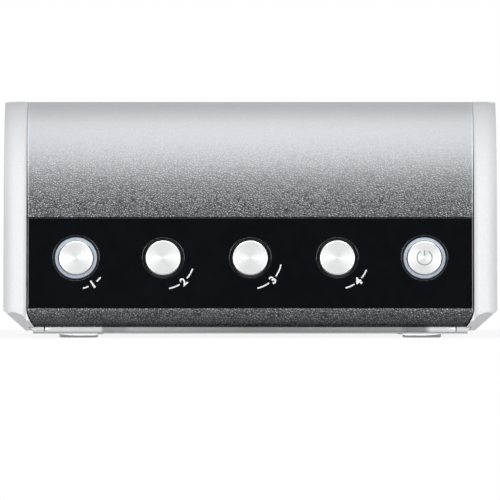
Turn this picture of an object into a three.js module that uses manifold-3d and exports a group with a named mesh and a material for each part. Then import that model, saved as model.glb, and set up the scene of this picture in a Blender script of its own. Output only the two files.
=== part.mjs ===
// Negative scanner for 35 mm film: a low desktop case with silver cheeks, a grained cover,
// a gloss black panel of five push buttons, a film door in each cheek, and the film
// transport, lamp and optics inside.
// Millimetres, +Z up, front towards -Y, origin on the table under the middle of the case.

import * as THREE from 'three'
import { mergeVertices } from 'three/addons/utils/BufferGeometryUtils.js'
import Module from 'manifold-3d'

const wasm = await Module()
wasm.setup()

// Overall sizes of the case
const caseWidth = 178
const caseDepth = 281
const caseHeight = 85.5

// Clearances, and how far a cutting body reaches past what it cuts
const seam = 0.3
const runningGap = 0.3
const seatGap = 0.15
const overrun = 4

// Side outline: a band that curves under, a panel that leans back, a crown and a flat top
const leanDegrees = 12
const underDegrees = 60
const bandRadius = 6
const rearRadius = 14
const panelBottomZ = 10.7
const panelTopZ = 43.5
const coverWall = 2.5

const foot = { radius: 7, height: 1.5, fromSide: 27, fromEnd: 23 }
const pan = { rim: 0.9, floor: 2, setBack: 0.3, wallHeight: 8.5, wall: 1.6, wallInset: 1 }
const vent = { count: 7, length: 34, width: 2.6, pitch: 6.5 }
const trim = { height: 1.8, depth: 3.3, fromSide: 9.6, slant: 1.1, endLength: 5.4 }
const cheek = {
  thickness: 8.4, gap: 0.5, proud: 0.6, wall: 2.6, rollWidth: 4.5, rollDepth: 2.5,
  roofShare: 0.16, chamferRun: 9.4, chamferRise: 8.3, footRun: 2.8,
}
const facet = { innerRise: 5.5, outerRise: 8.6, setBack: 4.2 }
const pocket = { fromDoor: 8, fromTop: 6, fromRear: 6.5, rib: 3 }
const door = { length: 56, below: 14, above: 14, thickness: 3, corner: 3, scoop: 7 }
const doorPin = { radius: 0.6, grip: 3 }

// Push buttons, named from left to right, with light rings round the first and the last
const buttonNames = ['eject', 'positive', 'negative', 'custom', 'power']
const litButtons = ['eject', 'power']
const buttonsFromSide = 26.2
const buttonZ = 28.6
const button = {
  radius: 6.1, proud: 1.2, skirt: 1.4, edge: 0.35, stemRadius: 3, collarRadius: 4,
  collarHeight: 1.3, travel: 1,
}
const plainHole = { radius: 7.45, chamfer: 0.5 }
const litHole = { radius: 7.6, mouthRadius: 8.6, mouthDepth: 0.9 }
const lightRing = { inner: 6.4, outer: 7.4, sunk: 0.2 }
const frame = {
  thickness: 2, start: 2, past: 2, legSetBack: 6.6, legDepth: 2, legRise: 8, peg: 2, pegLength: 6.4,
}
const board = { thickness: 1.6, height: 17, fromSide: 8, plugWidth: 16, plugHeight: 6, plugDepth: 4 }
const tactSwitch = { size: 6, height: 2.2 }

// Film path, from cheek to cheek
const film = { width: 35, setBack: 60.5, sideGap: 0.1, channel: 0.6 }
const slot = { length: 40, height: 6 }
const track = { thickness: 2, endGap: 1.5, gateLength: 38, gateWidth: 26 }
const chassis = { wall: 2, inside: 48, floor: 2, endGap: 0.3, hornTop: 6, hornHalf: 8 }
const driveRoller = { radius: 5, shaft: 2, length: 36, proud: 0.2 }
const pinchRoller = { radius: 4, shaft: 1.5, length: 36, nip: 0.3 }

// Spur gears on one level behind the rear wall of the chassis
const rollersFromSide = 34
const pressureDegrees = 20
const addendumShare = 0.9
const dedendumShare = 1.25
const backlash = 0.14
const gearWidth = 5
const gearSideGap = 1
const teeth = { pinion: 14, idler: 36, roller: 24 }
const idlerPinRadius = 1.5
const gearPlate = { thickness: 2, gap: 3, pillar: 3, band: 8, legHalf: 6 }
const motor = { radius: 8, length: 23, bossRadius: 3.2, shaft: 1.5, boreDepth: 4 }

// Lamp over the gate
const lamp = {
  length: 48, width: 38, height: 13.144, wall: 2, headroom: 3.5, finCount: 5, finWidth: 2, finHeight: 2.5,
  barWidth: 6, barHeight: 1.6,
}
const diffuser = { thickness: 1.5, above: 3, ledge: 1.2 }

// Mirror, lens and image sensor on one axis
const opticsAboveMiddle = 2.5
const mirror = { width: 30, length: 36, thickness: 2 }
const mirrorBracket = { wall: 2, reach: 14 }
const lightHoleRadius = 13
const bed = { forward: 2, length: 60, width: 64, floor: 2, block: 5, height: 16.5 }
const guideRod = { radius: 2, spacing: 48, height: 12.5 }
const carriage = { width: 60, depth: 16, below: 5, above: 5, towerHalf: 13, towerTop: 12 }
const lens = { radius: 10, length: 29, bore: 7.5, rimRadius: 11, rim: 3, glass: 4, glassCrown: 1.2 }
const leadScrew = { radius: 1.6, offset: 12 }
const focusMotor = { radius: 9, length: 18, boreDepth: 4 }
const sensorPlate = { width: 52, thickness: 2, height: 46.5, footDepth: 14, fromRear: 52.5 }
const sensorBoard = { width: 44, height: 32 }
const sensorChip = { width: 18, height: 12, depth: 2.4 }

// Main board and its sockets at the rear
const mainBoard = { width: 38, length: 124, fromWall: 4, rise: 5, post: 3, inset: 6 }
const imageChip = { acrossShare: 0.5, alongShare: 0.3, size: 16, height: 2 }
const memoryChip = { acrossShare: 0.35, alongShare: 0.55, size: 10, height: 1.6 }
const powerChip = { acrossShare: 0.7, alongShare: 0.72, size: 8, height: 3 }
const usbSocket = { width: 12, height: 11, depth: 17, wall: 1.2, mouthDepth: 9, fromEdge: 8 }
const tongue = { width: 5.6, height: 3.2, length: 7 }
const powerJack = { width: 9.5, height: 11, depth: 14, boreRadius: 3.2, pin: 1, boreDepth: 9, fromEdge: 25 }
const socketGap = 0.4

// Counts of the steps that make round stretches
const roundSides = 20
const smallSides = 12
const crownSteps = 12
const bandSteps = 6
const toeSteps = 1
const rearSteps = 6
const flankSteps = 1
const cornerSteps = 4

// Angles and places that follow from the sizes
const lean = THREE.MathUtils.degToRad(leanDegrees)
const under = THREE.MathUtils.degToRad(underDegrees)
const quarterTurn = Math.PI / 2
const frontY = -caseDepth / 2
const rearY = caseDepth / 2
const outerX = caseWidth / 2
const innerX = outerX - cheek.thickness
const coverX = innerX - cheek.gap
const baseZ = foot.height
const floorZ = baseZ + pan.floor
const trimBottomZ = baseZ + pan.rim
const trimTopZ = trimBottomZ + trim.height
const hookZ = trimTopZ + seam
const coverRearY = rearY - cheek.proud

const bandCentre = new THREE.Vector2(frontY + bandRadius, panelBottomZ - bandRadius * Math.sin(lean))
const leanLength = (panelTopZ - panelBottomZ) / Math.cos(lean)
const crownRadius = (caseHeight - panelTopZ) / (1 - Math.sin(lean))
const crownCentre = new THREE.Vector2(
  bandCentre.x + leanLength * Math.sin(lean) + (crownRadius - bandRadius) * Math.cos(lean),
  caseHeight - crownRadius,
)
const rearCentre = new THREE.Vector2(rearY - rearRadius, caseHeight - rearRadius)
const trimFrontY = bandCentre.x - bandRadius * Math.cos(under)
const trimHalf = outerX - trim.fromSide
const panHalf = trimHalf - trim.slant
const cornerX = coverX - cheek.footRun
const panWallX = panHalf - pan.wallInset
const frameHalf = panWallX

// The lamp fits under the crown, and the film plates lie under the lamp
const filmY = frontY + film.setBack
const lampNearY = crownCentre.x - filmY + lamp.width / 2
const coverInside = crownRadius - cheek.proud - coverWall
const coverAboveLampZ = crownCentre.y + Math.sqrt(coverInside ** 2 - lampNearY ** 2)
const lampRoofZ = coverAboveLampZ - lamp.headroom - lamp.finHeight
const coverPlateZ = lampRoofZ - lamp.height
const trackTopZ = coverPlateZ - track.thickness
const filmZ = trackTopZ - film.channel
const trackBottomZ = filmZ - track.thickness
const driveZ = filmZ + driveRoller.proud - driveRoller.radius
const pinchZ = driveZ + driveRoller.radius + pinchRoller.nip + pinchRoller.radius
const wallFrontY = filmY - chassis.inside / 2 - chassis.wall
const wallRearY = filmY + chassis.inside / 2 + chassis.wall
const gearFrontY = wallRearY + gearSideGap
const gearRearY = gearFrontY + gearWidth
const plateFrontY = gearRearY + gearPlate.gap
const plateRearY = plateFrontY + gearPlate.thickness
const rollerX = outerX - rollersFromSide
const gearModule = 2 * rollerX / (teeth.pinion + 2 * teeth.idler + teeth.roller)
const idlerX = gearModule * (teeth.pinion + teeth.idler) / 2
const chassisHalf = panWallX - pan.wall - chassis.endGap
const trackHalf = innerX - track.endGap
const sensorY = rearY - sensorPlate.fromRear
const carriageY = (filmY + sensorY) / 2 - bed.forward
const [bedFrontY, bedRearY] = [carriageY - bed.length / 2, carriageY + bed.length / 2]
const rodZ = floorZ + guideRod.height
const opticsZ = (floorZ + trackBottomZ) / 2 + opticsAboveMiddle

const finishes = {
  silver: { color: 0xdcdde2, roughness: 0.38, metalness: 0.35 },
  grained: { color: 0x2b2c2f, roughness: 0.6, metalness: 0 },
  gloss: { color: 0x0c0e11, roughness: 0.12, metalness: 0 },
  spun: { color: 0xe6e6e8, roughness: 0.3, metalness: 0.9 },
  lightGuide: { color: 0xc6c9da, roughness: 0.5, metalness: 0 },
  dark: { color: 0x1b1c1e, roughness: 0.55, metalness: 0 },
  rubber: { color: 0x19191a, roughness: 0.85, metalness: 0 },
  steel: { color: 0xb4b6ba, roughness: 0.3, metalness: 1 },
  zinc: { color: 0x9da0a4, roughness: 0.45, metalness: 1 },
  acetal: { color: 0xe9e6dc, roughness: 0.5, metalness: 0 },
  circuit: { color: 0x1f5a3a, roughness: 0.5, metalness: 0 },
  glass: { color: 0xdfe8ee, roughness: 0.05, metalness: 0 },
  mirrored: { color: 0xf2f4f6, roughness: 0.03, metalness: 1 },
}

// A closed mesh as a solid that can be joined and cut
function solidOf(geometry) {
  const bare = geometry.clone()
  bare.deleteAttribute('normal')
  bare.deleteAttribute('uv')
  const merged = mergeVertices(bare)
  const corners = []
  for (let i = 0; i < merged.index.count; i += 3) {
    const [a, b, c] = [merged.index.getX(i), merged.index.getX(i + 1), merged.index.getX(i + 2)]
    if (a !== b && b !== c && c !== a) corners.push(a, b, c)
  }
  const vertProperties = new Float32Array(merged.attributes.position.array)
  const triVerts = new Uint32Array(corners)
  return new wasm.Manifold(new wasm.Mesh({ numProp: 3, vertProperties, triVerts }))
}

function geometryOf(solid) {
  const { vertProperties, triVerts, numProp } = solid.getMesh()
  const positions = new Float32Array(3 * vertProperties.length / numProp)
  for (let i = 0; i < positions.length / 3; i++) {
    positions.set(vertProperties.subarray(i * numProp, i * numProp + 3), 3 * i)
  }
  const geometry = new THREE.BufferGeometry()
  geometry.setAttribute('position', new THREE.BufferAttribute(positions, 3))
  geometry.setIndex(new THREE.BufferAttribute(new Uint32Array(triVerts), 1))
  geometry.computeVertexNormals()
  return geometry
}

function join(first, ...others) {
  return others.reduce((whole, next) => whole.add(next), first)
}

function cut(first, ...others) {
  return others.reduce((whole, next) => whole.subtract(next), first)
}

// The same solid on the other side of the middle plane
function mirrored(solid) {
  const geometry = geometryOf(solid)
  geometry.scale(-1, 1, 1)
  const index = geometry.index
  for (let i = 0; i < index.count; i += 3) {
    const first = index.getX(i)
    index.setX(i, index.getX(i + 1))
    index.setX(i + 1, first)
  }
  return solidOf(geometry)
}

// The right-hand solid for side 1, its mirror image for side -1
function onSide(side, solid) {
  return side > 0 ? solid : mirrored(solid)
}

function spanAround(middle, length) {
  return [middle - length / 2, middle + length / 2]
}

function slab(x, y, z) {
  const geometry = new THREE.BoxGeometry(x[1] - x[0], y[1] - y[0], z[1] - z[0])
  geometry.translate((x[0] + x[1]) / 2, (y[0] + y[1]) / 2, (z[0] + z[1]) / 2)
  return solidOf(geometry)
}

// A round bar along one axis, through a centre given on the other two in alphabetic order
function bar(axis, radius, centre, span, sides = smallSides) {
  const middle = (span[0] + span[1]) / 2
  const geometry = new THREE.CylinderGeometry(radius, radius, span[1] - span[0], sides)
  if (axis === 'x') geometry.rotateZ(quarterTurn).translate(middle, centre[0], centre[1])
  if (axis === 'y') geometry.translate(centre[0], middle, centre[1])
  if (axis === 'z') geometry.rotateX(quarterTurn).translate(centre[0], centre[1], middle)
  return solidOf(geometry)
}

// An outline pushed along one axis: (Y, Z) along X, (X, Z) along Y or (X, Y) along Z
function prism(axis, points, span, holes = []) {
  const shape = new THREE.Shape(points)
  shape.holes = holes.map(hole => new THREE.Path(hole))
  const depth = span[1] - span[0]
  const geometry = new THREE.ExtrudeGeometry(shape, { depth, bevelEnabled: false })
  const across = new THREE.Vector3(1, 0, 0)
  const back = new THREE.Vector3(0, 1, 0)
  const up = new THREE.Vector3(0, 0, 1)
  const turn = new THREE.Matrix4()
  if (axis === 'x') turn.makeBasis(back, up, across)
  if (axis === 'y') turn.makeBasis(across, up, back.negate())
  geometry.translate(0, 0, axis === 'y' ? -span[1] : span[0])
  return solidOf(geometry.applyMatrix4(turn))
}

// A profile of (radius, place along the axis) points turned round the Y or the Z axis
function turned(axis, profile, sides = roundSides) {
  const geometry = new THREE.LatheGeometry(profile, sides)
  if (axis === 'z') geometry.rotateX(quarterTurn)
  return solidOf(geometry)
}

function points(pairs) {
  return pairs.map(([x, y]) => new THREE.Vector2(x, y))
}

// A round stretch of the side outline between two slopes of its outward normal, on which the
// radius may grow evenly
function arc(centre, radius, from, to, steps, growth = 0) {
  const stretch = []
  for (let i = 0; i <= steps; i++) {
    const share = i / steps
    const slope = from + (to - from) * share
    const reach = radius + growth * share
    stretch.push([centre.x - reach * Math.cos(slope), centre.y + reach * Math.sin(slope)])
  }
  return points(stretch)
}

const crownArc = (inset, growth) =>
  arc(crownCentre, crownRadius - inset, lean, quarterTurn, crownSteps, growth)
const rearArc = inset => arc(rearCentre, rearRadius - inset, quarterTurn, 2 * quarterTurn, rearSteps)

// The whole side outline of a cheek, upright below the panel, drawn in by an inset in front
// and by a share of it at the roof
function sideOutline(inset) {
  const roofInset = inset * cheek.roofShare
  const front = arc(bandCentre, bandRadius - inset, 0, lean, toeSteps)
  const crown = crownArc(inset, inset - roofInset)
  const rear = rearArc(roofInset)
  const bottomZ = baseZ + inset
  const ends = points([[front[0].x, bottomZ], [rear[rearSteps].x, bottomZ]])
  return [ends[0], ...front, ...crown, ...rear, ends[1]].reverse()
}

// Side outlines of equal length at rising places along X, skinned into one body
function skinned(stations) {
  const count = stations[0].outline.length
  const positions = stations.flatMap(({ x, outline }) => outline.flatMap(p => [x, p.x, p.y]))
  const faces = THREE.ShapeUtils.triangulateShape(stations[0].outline, [])
  const last = (stations.length - 1) * count
  const index = faces.flatMap(([a, b, c]) => [a, c, b])
  index.push(...faces.flatMap(([a, b, c]) => [last + a, last + b, last + c]))
  for (let s = 0; s + 1 < stations.length; s++) {
    for (let i = 0; i < count; i++) {
      const [here, next] = [s * count + i, s * count + (i + 1) % count]
      index.push(here, next, next + count, here, next + count, here + count)
    }
  }
  const geometry = new THREE.BufferGeometry()
  geometry.setAttribute('position', new THREE.Float32BufferAttribute(positions, 3))
  geometry.setIndex(index)
  return solidOf(geometry)
}

// The curved lower corner, from an upright edge at x down to the hook over the trim strip
function cornerCurve(x) {
  const curve = []
  for (let i = 0; i <= cornerSteps; i++) {
    const share = i / cornerSteps
    curve.push([x - cheek.footRun * share ** 2, panelBottomZ - (panelBottomZ - hookZ) * share])
  }
  return curve
}

// What may lie between the cheeks, seen from the front
function betweenCheeks(bottomZ, topZ) {
  const right = [[coverX, topZ], ...cornerCurve(coverX), [cornerX, bottomZ]]
  const left = right.map(([x, z]) => [-x, z]).reverse()
  return prism('y', points([...right, ...left]), [frontY - overrun, rearY + overrun])
}

const scanner = new THREE.Group()

// One named piece of the scanner, in its own finish
function addPiece(name, solid, finish, group = scanner) {
  const material = new THREE.MeshStandardMaterial(finishes[finish])
  const mesh = new THREE.Mesh(geometryOf(solid), material)
  mesh.name = name
  group.add(mesh)
  return mesh
}

// Case

// Plate with a thin front ledge for the trim, side walls, vents and posts for the main board
function makeBasePan() {
  const ledge = slab([-panHalf, panHalf], [trimFrontY + pan.setBack, coverRearY], [baseZ, trimBottomZ])
  const plateY = trimFrontY + trim.depth + seam
  let body = join(ledge, slab([-panHalf, panHalf], [plateY, coverRearY], [trimBottomZ, floorZ]))
  const wallY = [frontY + frame.legSetBack + frame.legDepth + seam, coverRearY - coverWall - seam]
  for (const x of [[panWallX - pan.wall, panWallX], [-panWallX, pan.wall - panWallX]]) {
    body = join(body, slab(x, wallY, [floorZ, floorZ + pan.wallHeight]))
  }
  for (const [x, y] of boardPosts()) {
    body = join(body, bar('z', mainBoard.post, [x, y], [floorZ, floorZ + mainBoard.rise]))
  }
  for (let i = 0; i < vent.count; i++) {
    const x = spanAround(panWallX / 2, vent.length)
    const y = spanAround(rearY - foot.fromEnd - foot.radius - (i + 1) * vent.pitch, vent.width)
    body = cut(body, slab(x, y, [baseZ - overrun, floorZ + overrun]))
  }
  return body
}

function boardSpans() {
  const left = pan.wall + mainBoard.fromWall - panWallX
  const rear = coverRearY - coverWall - seam
  return { x: [left, left + mainBoard.width], y: [rear - mainBoard.length, rear] }
}

function boardPosts() {
  const { x, y } = boardSpans()
  const across = [x[0] + mainBoard.inset, x[1] - mainBoard.inset]
  const along = [y[0] + mainBoard.inset, y[1] - mainBoard.inset - usbSocket.depth]
  return across.flatMap(postX => along.map(postY => [postX, postY]))
}

function makeCover() {
  const [outside, inside] = [cheek.proud, cheek.proud + coverWall]
  const inner = [...crownArc(inside), ...rearArc(inside)].reverse()
  return prism('x', [...crownArc(outside), ...rearArc(outside), ...inner], [-coverX, coverX])
}

function makeFrontBand() {
  const outside = bandRadius - cheek.proud
  const low = -Math.asin((bandCentre.y - hookZ) / outside)
  const outer = arc(bandCentre, outside, low, lean, bandSteps)
  const inner = arc(bandCentre, outside - coverWall, low, lean, bandSteps).reverse()
  const body = prism('x', [...outer, ...inner], [-coverX, coverX])
  return body.intersect(betweenCheeks(trimBottomZ, panelTopZ))
}

function makeRearPanel() {
  const topZ = rearCentre.y - seam
  let body = slab([-coverX, coverX], [coverRearY - coverWall, coverRearY], [floorZ, topZ])
  body = body.intersect(betweenCheeks(baseZ, caseHeight))
  for (const { x, z } of [socketSpans(usbSocket), socketSpans(powerJack)]) {
    const across = [x[0] - socketGap, x[1] + socketGap]
    const up = [z[0] - socketGap, z[1] + socketGap]
    body = cut(body, slab(across, [coverRearY - coverWall - overrun, rearY + overrun], up))
  }
  for (let i = 0; i < vent.count; i++) {
    const x = spanAround(panWallX / 2, vent.length)
    const z = spanAround(rearCentre.y - (i + 1) * vent.pitch, vent.width)
    body = cut(body, slab(x, [coverRearY - coverWall - overrun, rearY + overrun], z))
  }
  return body
}

function makeTrimPiece(from, to, slantStart, slantEnd) {
  const outline = points([
    [from + slantStart, trimBottomZ], [to - slantEnd, trimBottomZ], [to, trimTopZ], [from, trimTopZ],
  ])
  return prism('y', outline, [trimFrontY, trimFrontY + trim.depth])
}

// Doors in the cheeks: where the opening lies, and the hinge along its lower edge
const doorY = spanAround(filmY, door.length)
const doorBottomZ = filmZ - door.below
const doorTopZ = filmZ + door.above
const recessX = outerX - door.thickness - runningGap
const hingeX = outerX - door.thickness / 2
const hingeZ = doorBottomZ + runningGap + door.thickness / 2
const pinY = [doorY[0] - doorPin.grip, doorY[1] + doorPin.grip]

// Seen from the front: the chamfered outer corner and the foot that hooks over the trim
function cheekOutline() {
  return points([
    [innerX, caseHeight + overrun], ...cornerCurve(innerX),
    [trimHalf + seam, hookZ], [panHalf + seam, trimBottomZ], [panHalf + seam, baseZ],
    [outerX - cheek.chamferRun, baseZ], [outerX, baseZ + cheek.chamferRise],
    [outerX, caseHeight + overrun],
  ])
}

// What lies behind a slanted facet along the lower front edge of the right cheek
function behindFacet(solid) {
  const inner = new THREE.Vector3(innerX, frontY, baseZ + facet.innerRise)
  const outer = new THREE.Vector3(outerX, frontY, baseZ + facet.outerRise)
  const low = new THREE.Vector3(innerX, frontY + facet.setBack, baseZ)
  const normal = outer.sub(inner).cross(low.sub(inner)).normalize()
  return solid.trimByPlane(normal.toArray(), normal.dot(inner))
}

function makeCheek() {
  const stations = [
    { x: innerX - cheek.footRun - overrun, outline: sideOutline(0) },
    { x: outerX - cheek.rollWidth, outline: sideOutline(0) },
    { x: outerX - cheek.rollWidth / 2, outline: sideOutline(cheek.rollDepth / 4) },
    { x: outerX, outline: sideOutline(cheek.rollDepth) },
  ]
  const front = prism('y', cheekOutline(), [frontY - overrun, rearY + overrun])
  const past = outerX + overrun
  const pocketStart = doorY[1] + pocket.fromDoor
  const pocketEnd = rearY - pocket.fromRear
  const pocketLength = (pocketEnd - pocketStart - pocket.rib) / 2
  const pocketX = [innerX - overrun, outerX - cheek.wall]
  const pocketZ = [baseZ + cheek.chamferRise + cheek.wall, caseHeight - pocket.fromTop]
  return cut(
    behindFacet(skinned(stations).intersect(front)),
    slab([recessX, past], doorY, [doorBottomZ, doorTopZ]),
    bar('x', door.scoop, [filmY, doorTopZ], [recessX, past], roundSides),
    bar('y', doorPin.radius + seatGap, [hingeX, hingeZ], pinY),
    slab([innerX - overrun, past], spanAround(filmY, slot.length), spanAround(filmZ, slot.height)),
    slab(pocketX, [pocketStart, pocketStart + pocketLength], pocketZ),
    slab(pocketX, [pocketEnd - pocketLength, pocketEnd], pocketZ),
  )
}

// Drawn round its own hinge line, with a knuckle along the lower edge
function makeDoor() {
  const half = door.thickness / 2
  const reach = doorTopZ - runningGap - hingeZ
  const y = [runningGap - door.length / 2, door.length / 2 - runningGap]
  const outline = points([
    [y[0], 0], [y[1], 0], [y[1], reach - door.corner], [y[1] - door.corner, reach],
    [y[0] + door.corner, reach], [y[0], reach - door.corner],
  ])
  const leaf = prism('x', outline, [-half, half])
  const knuckle = bar('y', half, [0, 0], y)
  const bore = bar('y', doorPin.radius + runningGap, [0, 0], [y[0] - overrun, y[1] + overrun])
  return cut(join(leaf, knuckle), bore)
}

function addCase() {
  addPiece('base_pan', makeBasePan(), 'silver')
  addPiece('cover', makeCover(), 'grained')
  addPiece('front_band', makeFrontBand(), 'grained')
  addPiece('rear_panel', makeRearPanel(), 'dark')
  const endX = trimHalf - trim.endLength
  addPiece('front_trim', makeTrimPiece(-endX, endX, 0, 0), 'silver')
  const trimEnd = makeTrimPiece(endX + seam, trimHalf, 0, trim.slant)
  for (const [side, word] of [[1, 'right'], [-1, 'left']]) {
    addPiece(`${word}_trim_end`, onSide(side, trimEnd), 'silver')
    addPiece(`${word}_cheek`, onSide(side, makeCheek()), 'silver')
    const hinge = new THREE.Group()
    hinge.position.set(side * hingeX, filmY, hingeZ)
    addPiece(`${word}_film_door`, onSide(side, makeDoor()), 'silver', hinge)
    scanner.add(hinge)
    addPiece(`${word}_door_pin`, bar('y', doorPin.radius, [side * hingeX, hingeZ], pinY), 'steel')
    for (const [end, place] of [[-1, 'front'], [1, 'rear']]) {
      const centre = [side * (outerX - foot.fromSide), end * (rearY - foot.fromEnd)]
      addPiece(`${place}_${word}_foot`, bar('z', foot.radius, centre, [0, baseZ], roundSides), 'rubber')
    }
  }
}

// Button panel, drawn in its own leaning frame: X across, Y up the slope, Z out of the face

const panelOrigin = arc(bandCentre, bandRadius - cheek.proud, lean, quarterTurn, 1)[0]
const buttonV = (buttonZ - panelOrigin.y) / Math.cos(lean)
const frameFrontN = -coverWall - seam
const frameBackN = frameFrontN - frame.thickness
const boardFrontN = frameBackN - frame.pegLength - seam
const boardBackN = boardFrontN - board.thickness
const collarTopN = frameBackN - runningGap
const stemEndN = boardFrontN + tactSwitch.height + button.travel + runningGap

const buttonPitch = 2 * (outerX - buttonsFromSide) / (buttonNames.length - 1)

function buttonX(index) {
  return (index - (buttonNames.length - 1) / 2) * buttonPitch
}

// A point of the side view in the leaning frame
function onPanel(y, z) {
  const [back, up] = [y - panelOrigin.x, z - panelOrigin.y]
  return [back * Math.sin(lean) + up * Math.cos(lean), up * Math.sin(lean) - back * Math.cos(lean)]
}

function holeCutter(x, radius, mouthRadius, mouthDepth) {
  const profile = points([
    [0, -coverWall - overrun], [radius, -coverWall - overrun], [radius, -mouthDepth],
    [mouthRadius, 0], [mouthRadius, overrun], [0, overrun],
  ])
  return turned('z', profile).translate([x, buttonV, 0])
}

function makeButtonPanel() {
  const body = slab([-coverX, coverX], [seam, leanLength - seam], [-coverWall, 0])
  const holes = buttonNames.map((name, i) => {
    if (litButtons.includes(name)) {
      return holeCutter(buttonX(i), litHole.radius, litHole.mouthRadius, litHole.mouthDepth)
    }
    const mouth = plainHole.radius + plainHole.chamfer
    return holeCutter(buttonX(i), plainHole.radius, mouth, plainHole.chamfer)
  })
  return cut(body, ...holes)
}

// Plate behind the panel on a leg that stands on the base pan, with pegs for the board
function makeFrontFrame() {
  const slope = [frame.start, leanLength + frame.past]
  const plate = slab([-frameHalf, frameHalf], slope, [frameBackN, frameFrontN])
  const legY = [frontY + frame.legSetBack, frontY + frame.legSetBack + frame.legDepth]
  const legTopZ = panelBottomZ + frame.legRise
  const corners = [[legY[0], floorZ], [legY[1], floorZ], [legY[1], legTopZ], [legY[0], legTopZ]]
  const leg = prism('x', points(corners.map(([y, z]) => onPanel(y, z))), [-frameHalf, frameHalf])
  const pegSpan = [frameBackN - frame.pegLength, frameFrontN - frame.thickness / 2]
  const pegs = buttonNames.slice(1).map((name, i) => {
    return bar('z', frame.peg, [buttonX(i) + buttonPitch / 2, buttonV], pegSpan)
  })
  const holes = buttonNames.map((name, i) => {
    const span = [frameBackN - overrun, frameFrontN + overrun]
    return bar('z', button.stemRadius + runningGap, [buttonX(i), buttonV], span)
  })
  return cut(join(plate, leg, ...pegs), ...holes)
}

// Cap and stem in one, with a collar that keeps the button from falling out
function makeButton() {
  return turned('z', points([
    [0, stemEndN], [button.stemRadius, stemEndN],
    [button.stemRadius, collarTopN - button.collarHeight],
    [button.collarRadius, collarTopN - button.collarHeight],
    [button.collarRadius, collarTopN], [button.stemRadius, collarTopN],
    [button.stemRadius, -button.skirt], [button.radius, -button.skirt],
    [button.radius, button.proud - button.edge], [button.radius - button.edge, button.proud],
    [0, button.proud],
  ]))
}

function makeLightRing() {
  const { inner, outer, sunk } = lightRing
  return turned('z', points([
    [inner, -coverWall], [outer, -coverWall], [outer, -sunk], [inner, -sunk], [inner, -coverWall],
  ]))
}

function makeButtonBoard() {
  const half = coverX - board.fromSide
  const plate = slab([-half, half], spanAround(buttonV, board.height), [boardBackN, boardFrontN])
  const switches = buttonNames.map((name, i) => {
    const [x, y] = [spanAround(buttonX(i), tactSwitch.size), spanAround(buttonV, tactSwitch.size)]
    return slab(x, y, [boardBackN, boardFrontN + tactSwitch.height])
  })
  const plugX = [-half, board.plugWidth - half]
  const plug = slab(plugX, spanAround(buttonV, board.plugHeight), [boardBackN - board.plugDepth, boardFrontN])
  return join(plate, plug, ...switches)
}

function addPanel() {
  const panel = new THREE.Group()
  panel.position.set(0, panelOrigin.x, panelOrigin.y)
  panel.rotation.x = quarterTurn - lean
  scanner.add(panel)
  addPiece('button_panel', makeButtonPanel(), 'gloss', panel)
  addPiece('front_frame', makeFrontFrame(), 'dark', panel)
  addPiece('button_board', makeButtonBoard(), 'circuit', panel)
  buttonNames.forEach((name, i) => {
    addPiece(`${name}_button`, makeButton(), 'spun', panel).position.set(buttonX(i), buttonV, 0)
    if (!litButtons.includes(name)) return
    addPiece(`${name}_light_ring`, makeLightRing(), 'lightGuide', panel).position.set(buttonX(i), buttonV, 0)
  })
}

// Film transport

// Walls with horns that carry the rollers, a floor, and pins for the idler gears
function makeChassis() {
  const horn = [rollerX - chassis.hornHalf, rollerX + chassis.hornHalf]
  const hornTopZ = pinchZ + chassis.hornTop
  const right = [
    [chassisHalf, floorZ], [chassisHalf, trackBottomZ], [horn[1], trackBottomZ], [horn[1], hornTopZ],
    [horn[0], hornTopZ], [horn[0], trackBottomZ],
  ]
  const left = right.map(([x, z]) => [-x, z]).reverse()
  const outline = points([...right, ...left])
  const deep = [wallFrontY - overrun, wallRearY + overrun]
  let body = join(
    prism('y', outline, [wallFrontY, wallFrontY + chassis.wall]),
    prism('y', outline, [wallRearY - chassis.wall, wallRearY]),
    slab([-chassisHalf, chassisHalf], [wallFrontY, wallRearY], [floorZ, floorZ + chassis.floor]),
  )
  const lightHole = bar('y', lightHoleRadius, [0, opticsZ], [filmY, deep[1]], roundSides)
  body = cut(body, lightHole)
  for (const side of [1, -1]) {
    body = cut(
      body,
      bar('y', driveRoller.shaft + runningGap, [side * rollerX, driveZ], deep),
      bar('y', pinchRoller.shaft + runningGap, [side * rollerX, pinchZ], deep),
    )
    const pin = bar('y', idlerPinRadius, [side * idlerX, driveZ], [wallRearY - chassis.wall, plateRearY])
    body = join(body, pin)
  }
  return body
}

// A film plate with the gate, windows for the rollers and notches for the horns
function makeTrack(zSpan, rollerRadius) {
  const past = [zSpan[0] - overrun, zSpan[1] + overrun]
  const insideY = chassis.inside / 2 - runningGap
  let body = slab([-trackHalf, trackHalf], [wallFrontY, wallRearY], zSpan)
  body = cut(body, slab(spanAround(0, track.gateLength), spanAround(filmY, track.gateWidth), past))
  for (const side of [1, -1]) {
    const windowX = spanAround(side * rollerX, 2 * (rollerRadius + runningGap))
    const windowY = spanAround(filmY, driveRoller.length + 2 * runningGap)
    const notchX = spanAround(side * rollerX, 2 * (chassis.hornHalf + runningGap))
    body = cut(
      body,
      slab(windowX, windowY, past),
      slab(notchX, [filmY + insideY, wallRearY + overrun], past),
      slab(notchX, [wallFrontY - overrun, filmY - insideY], past),
    )
  }
  return body
}

function makeLowerTrack() {
  const channelY = spanAround(filmY, film.width + 2 * film.sideGap)
  const channelX = [-trackHalf - overrun, trackHalf + overrun]
  const channel = slab(channelX, channelY, [filmZ, trackTopZ + overrun])
  return cut(makeTrack([trackBottomZ, trackTopZ], driveRoller.radius), channel)
}

// Rollers are drawn round their own axis, with Y measured from the middle of the film
function makeRoller(size, shaftY) {
  const half = size.length / 2
  return turned('y', points([
    [0, shaftY[0]], [size.shaft, shaftY[0]], [size.shaft, -half], [size.radius, -half],
    [size.radius, half], [size.shaft, half], [size.shaft, shaftY[1]], [0, shaftY[1]],
  ]))
}

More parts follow.
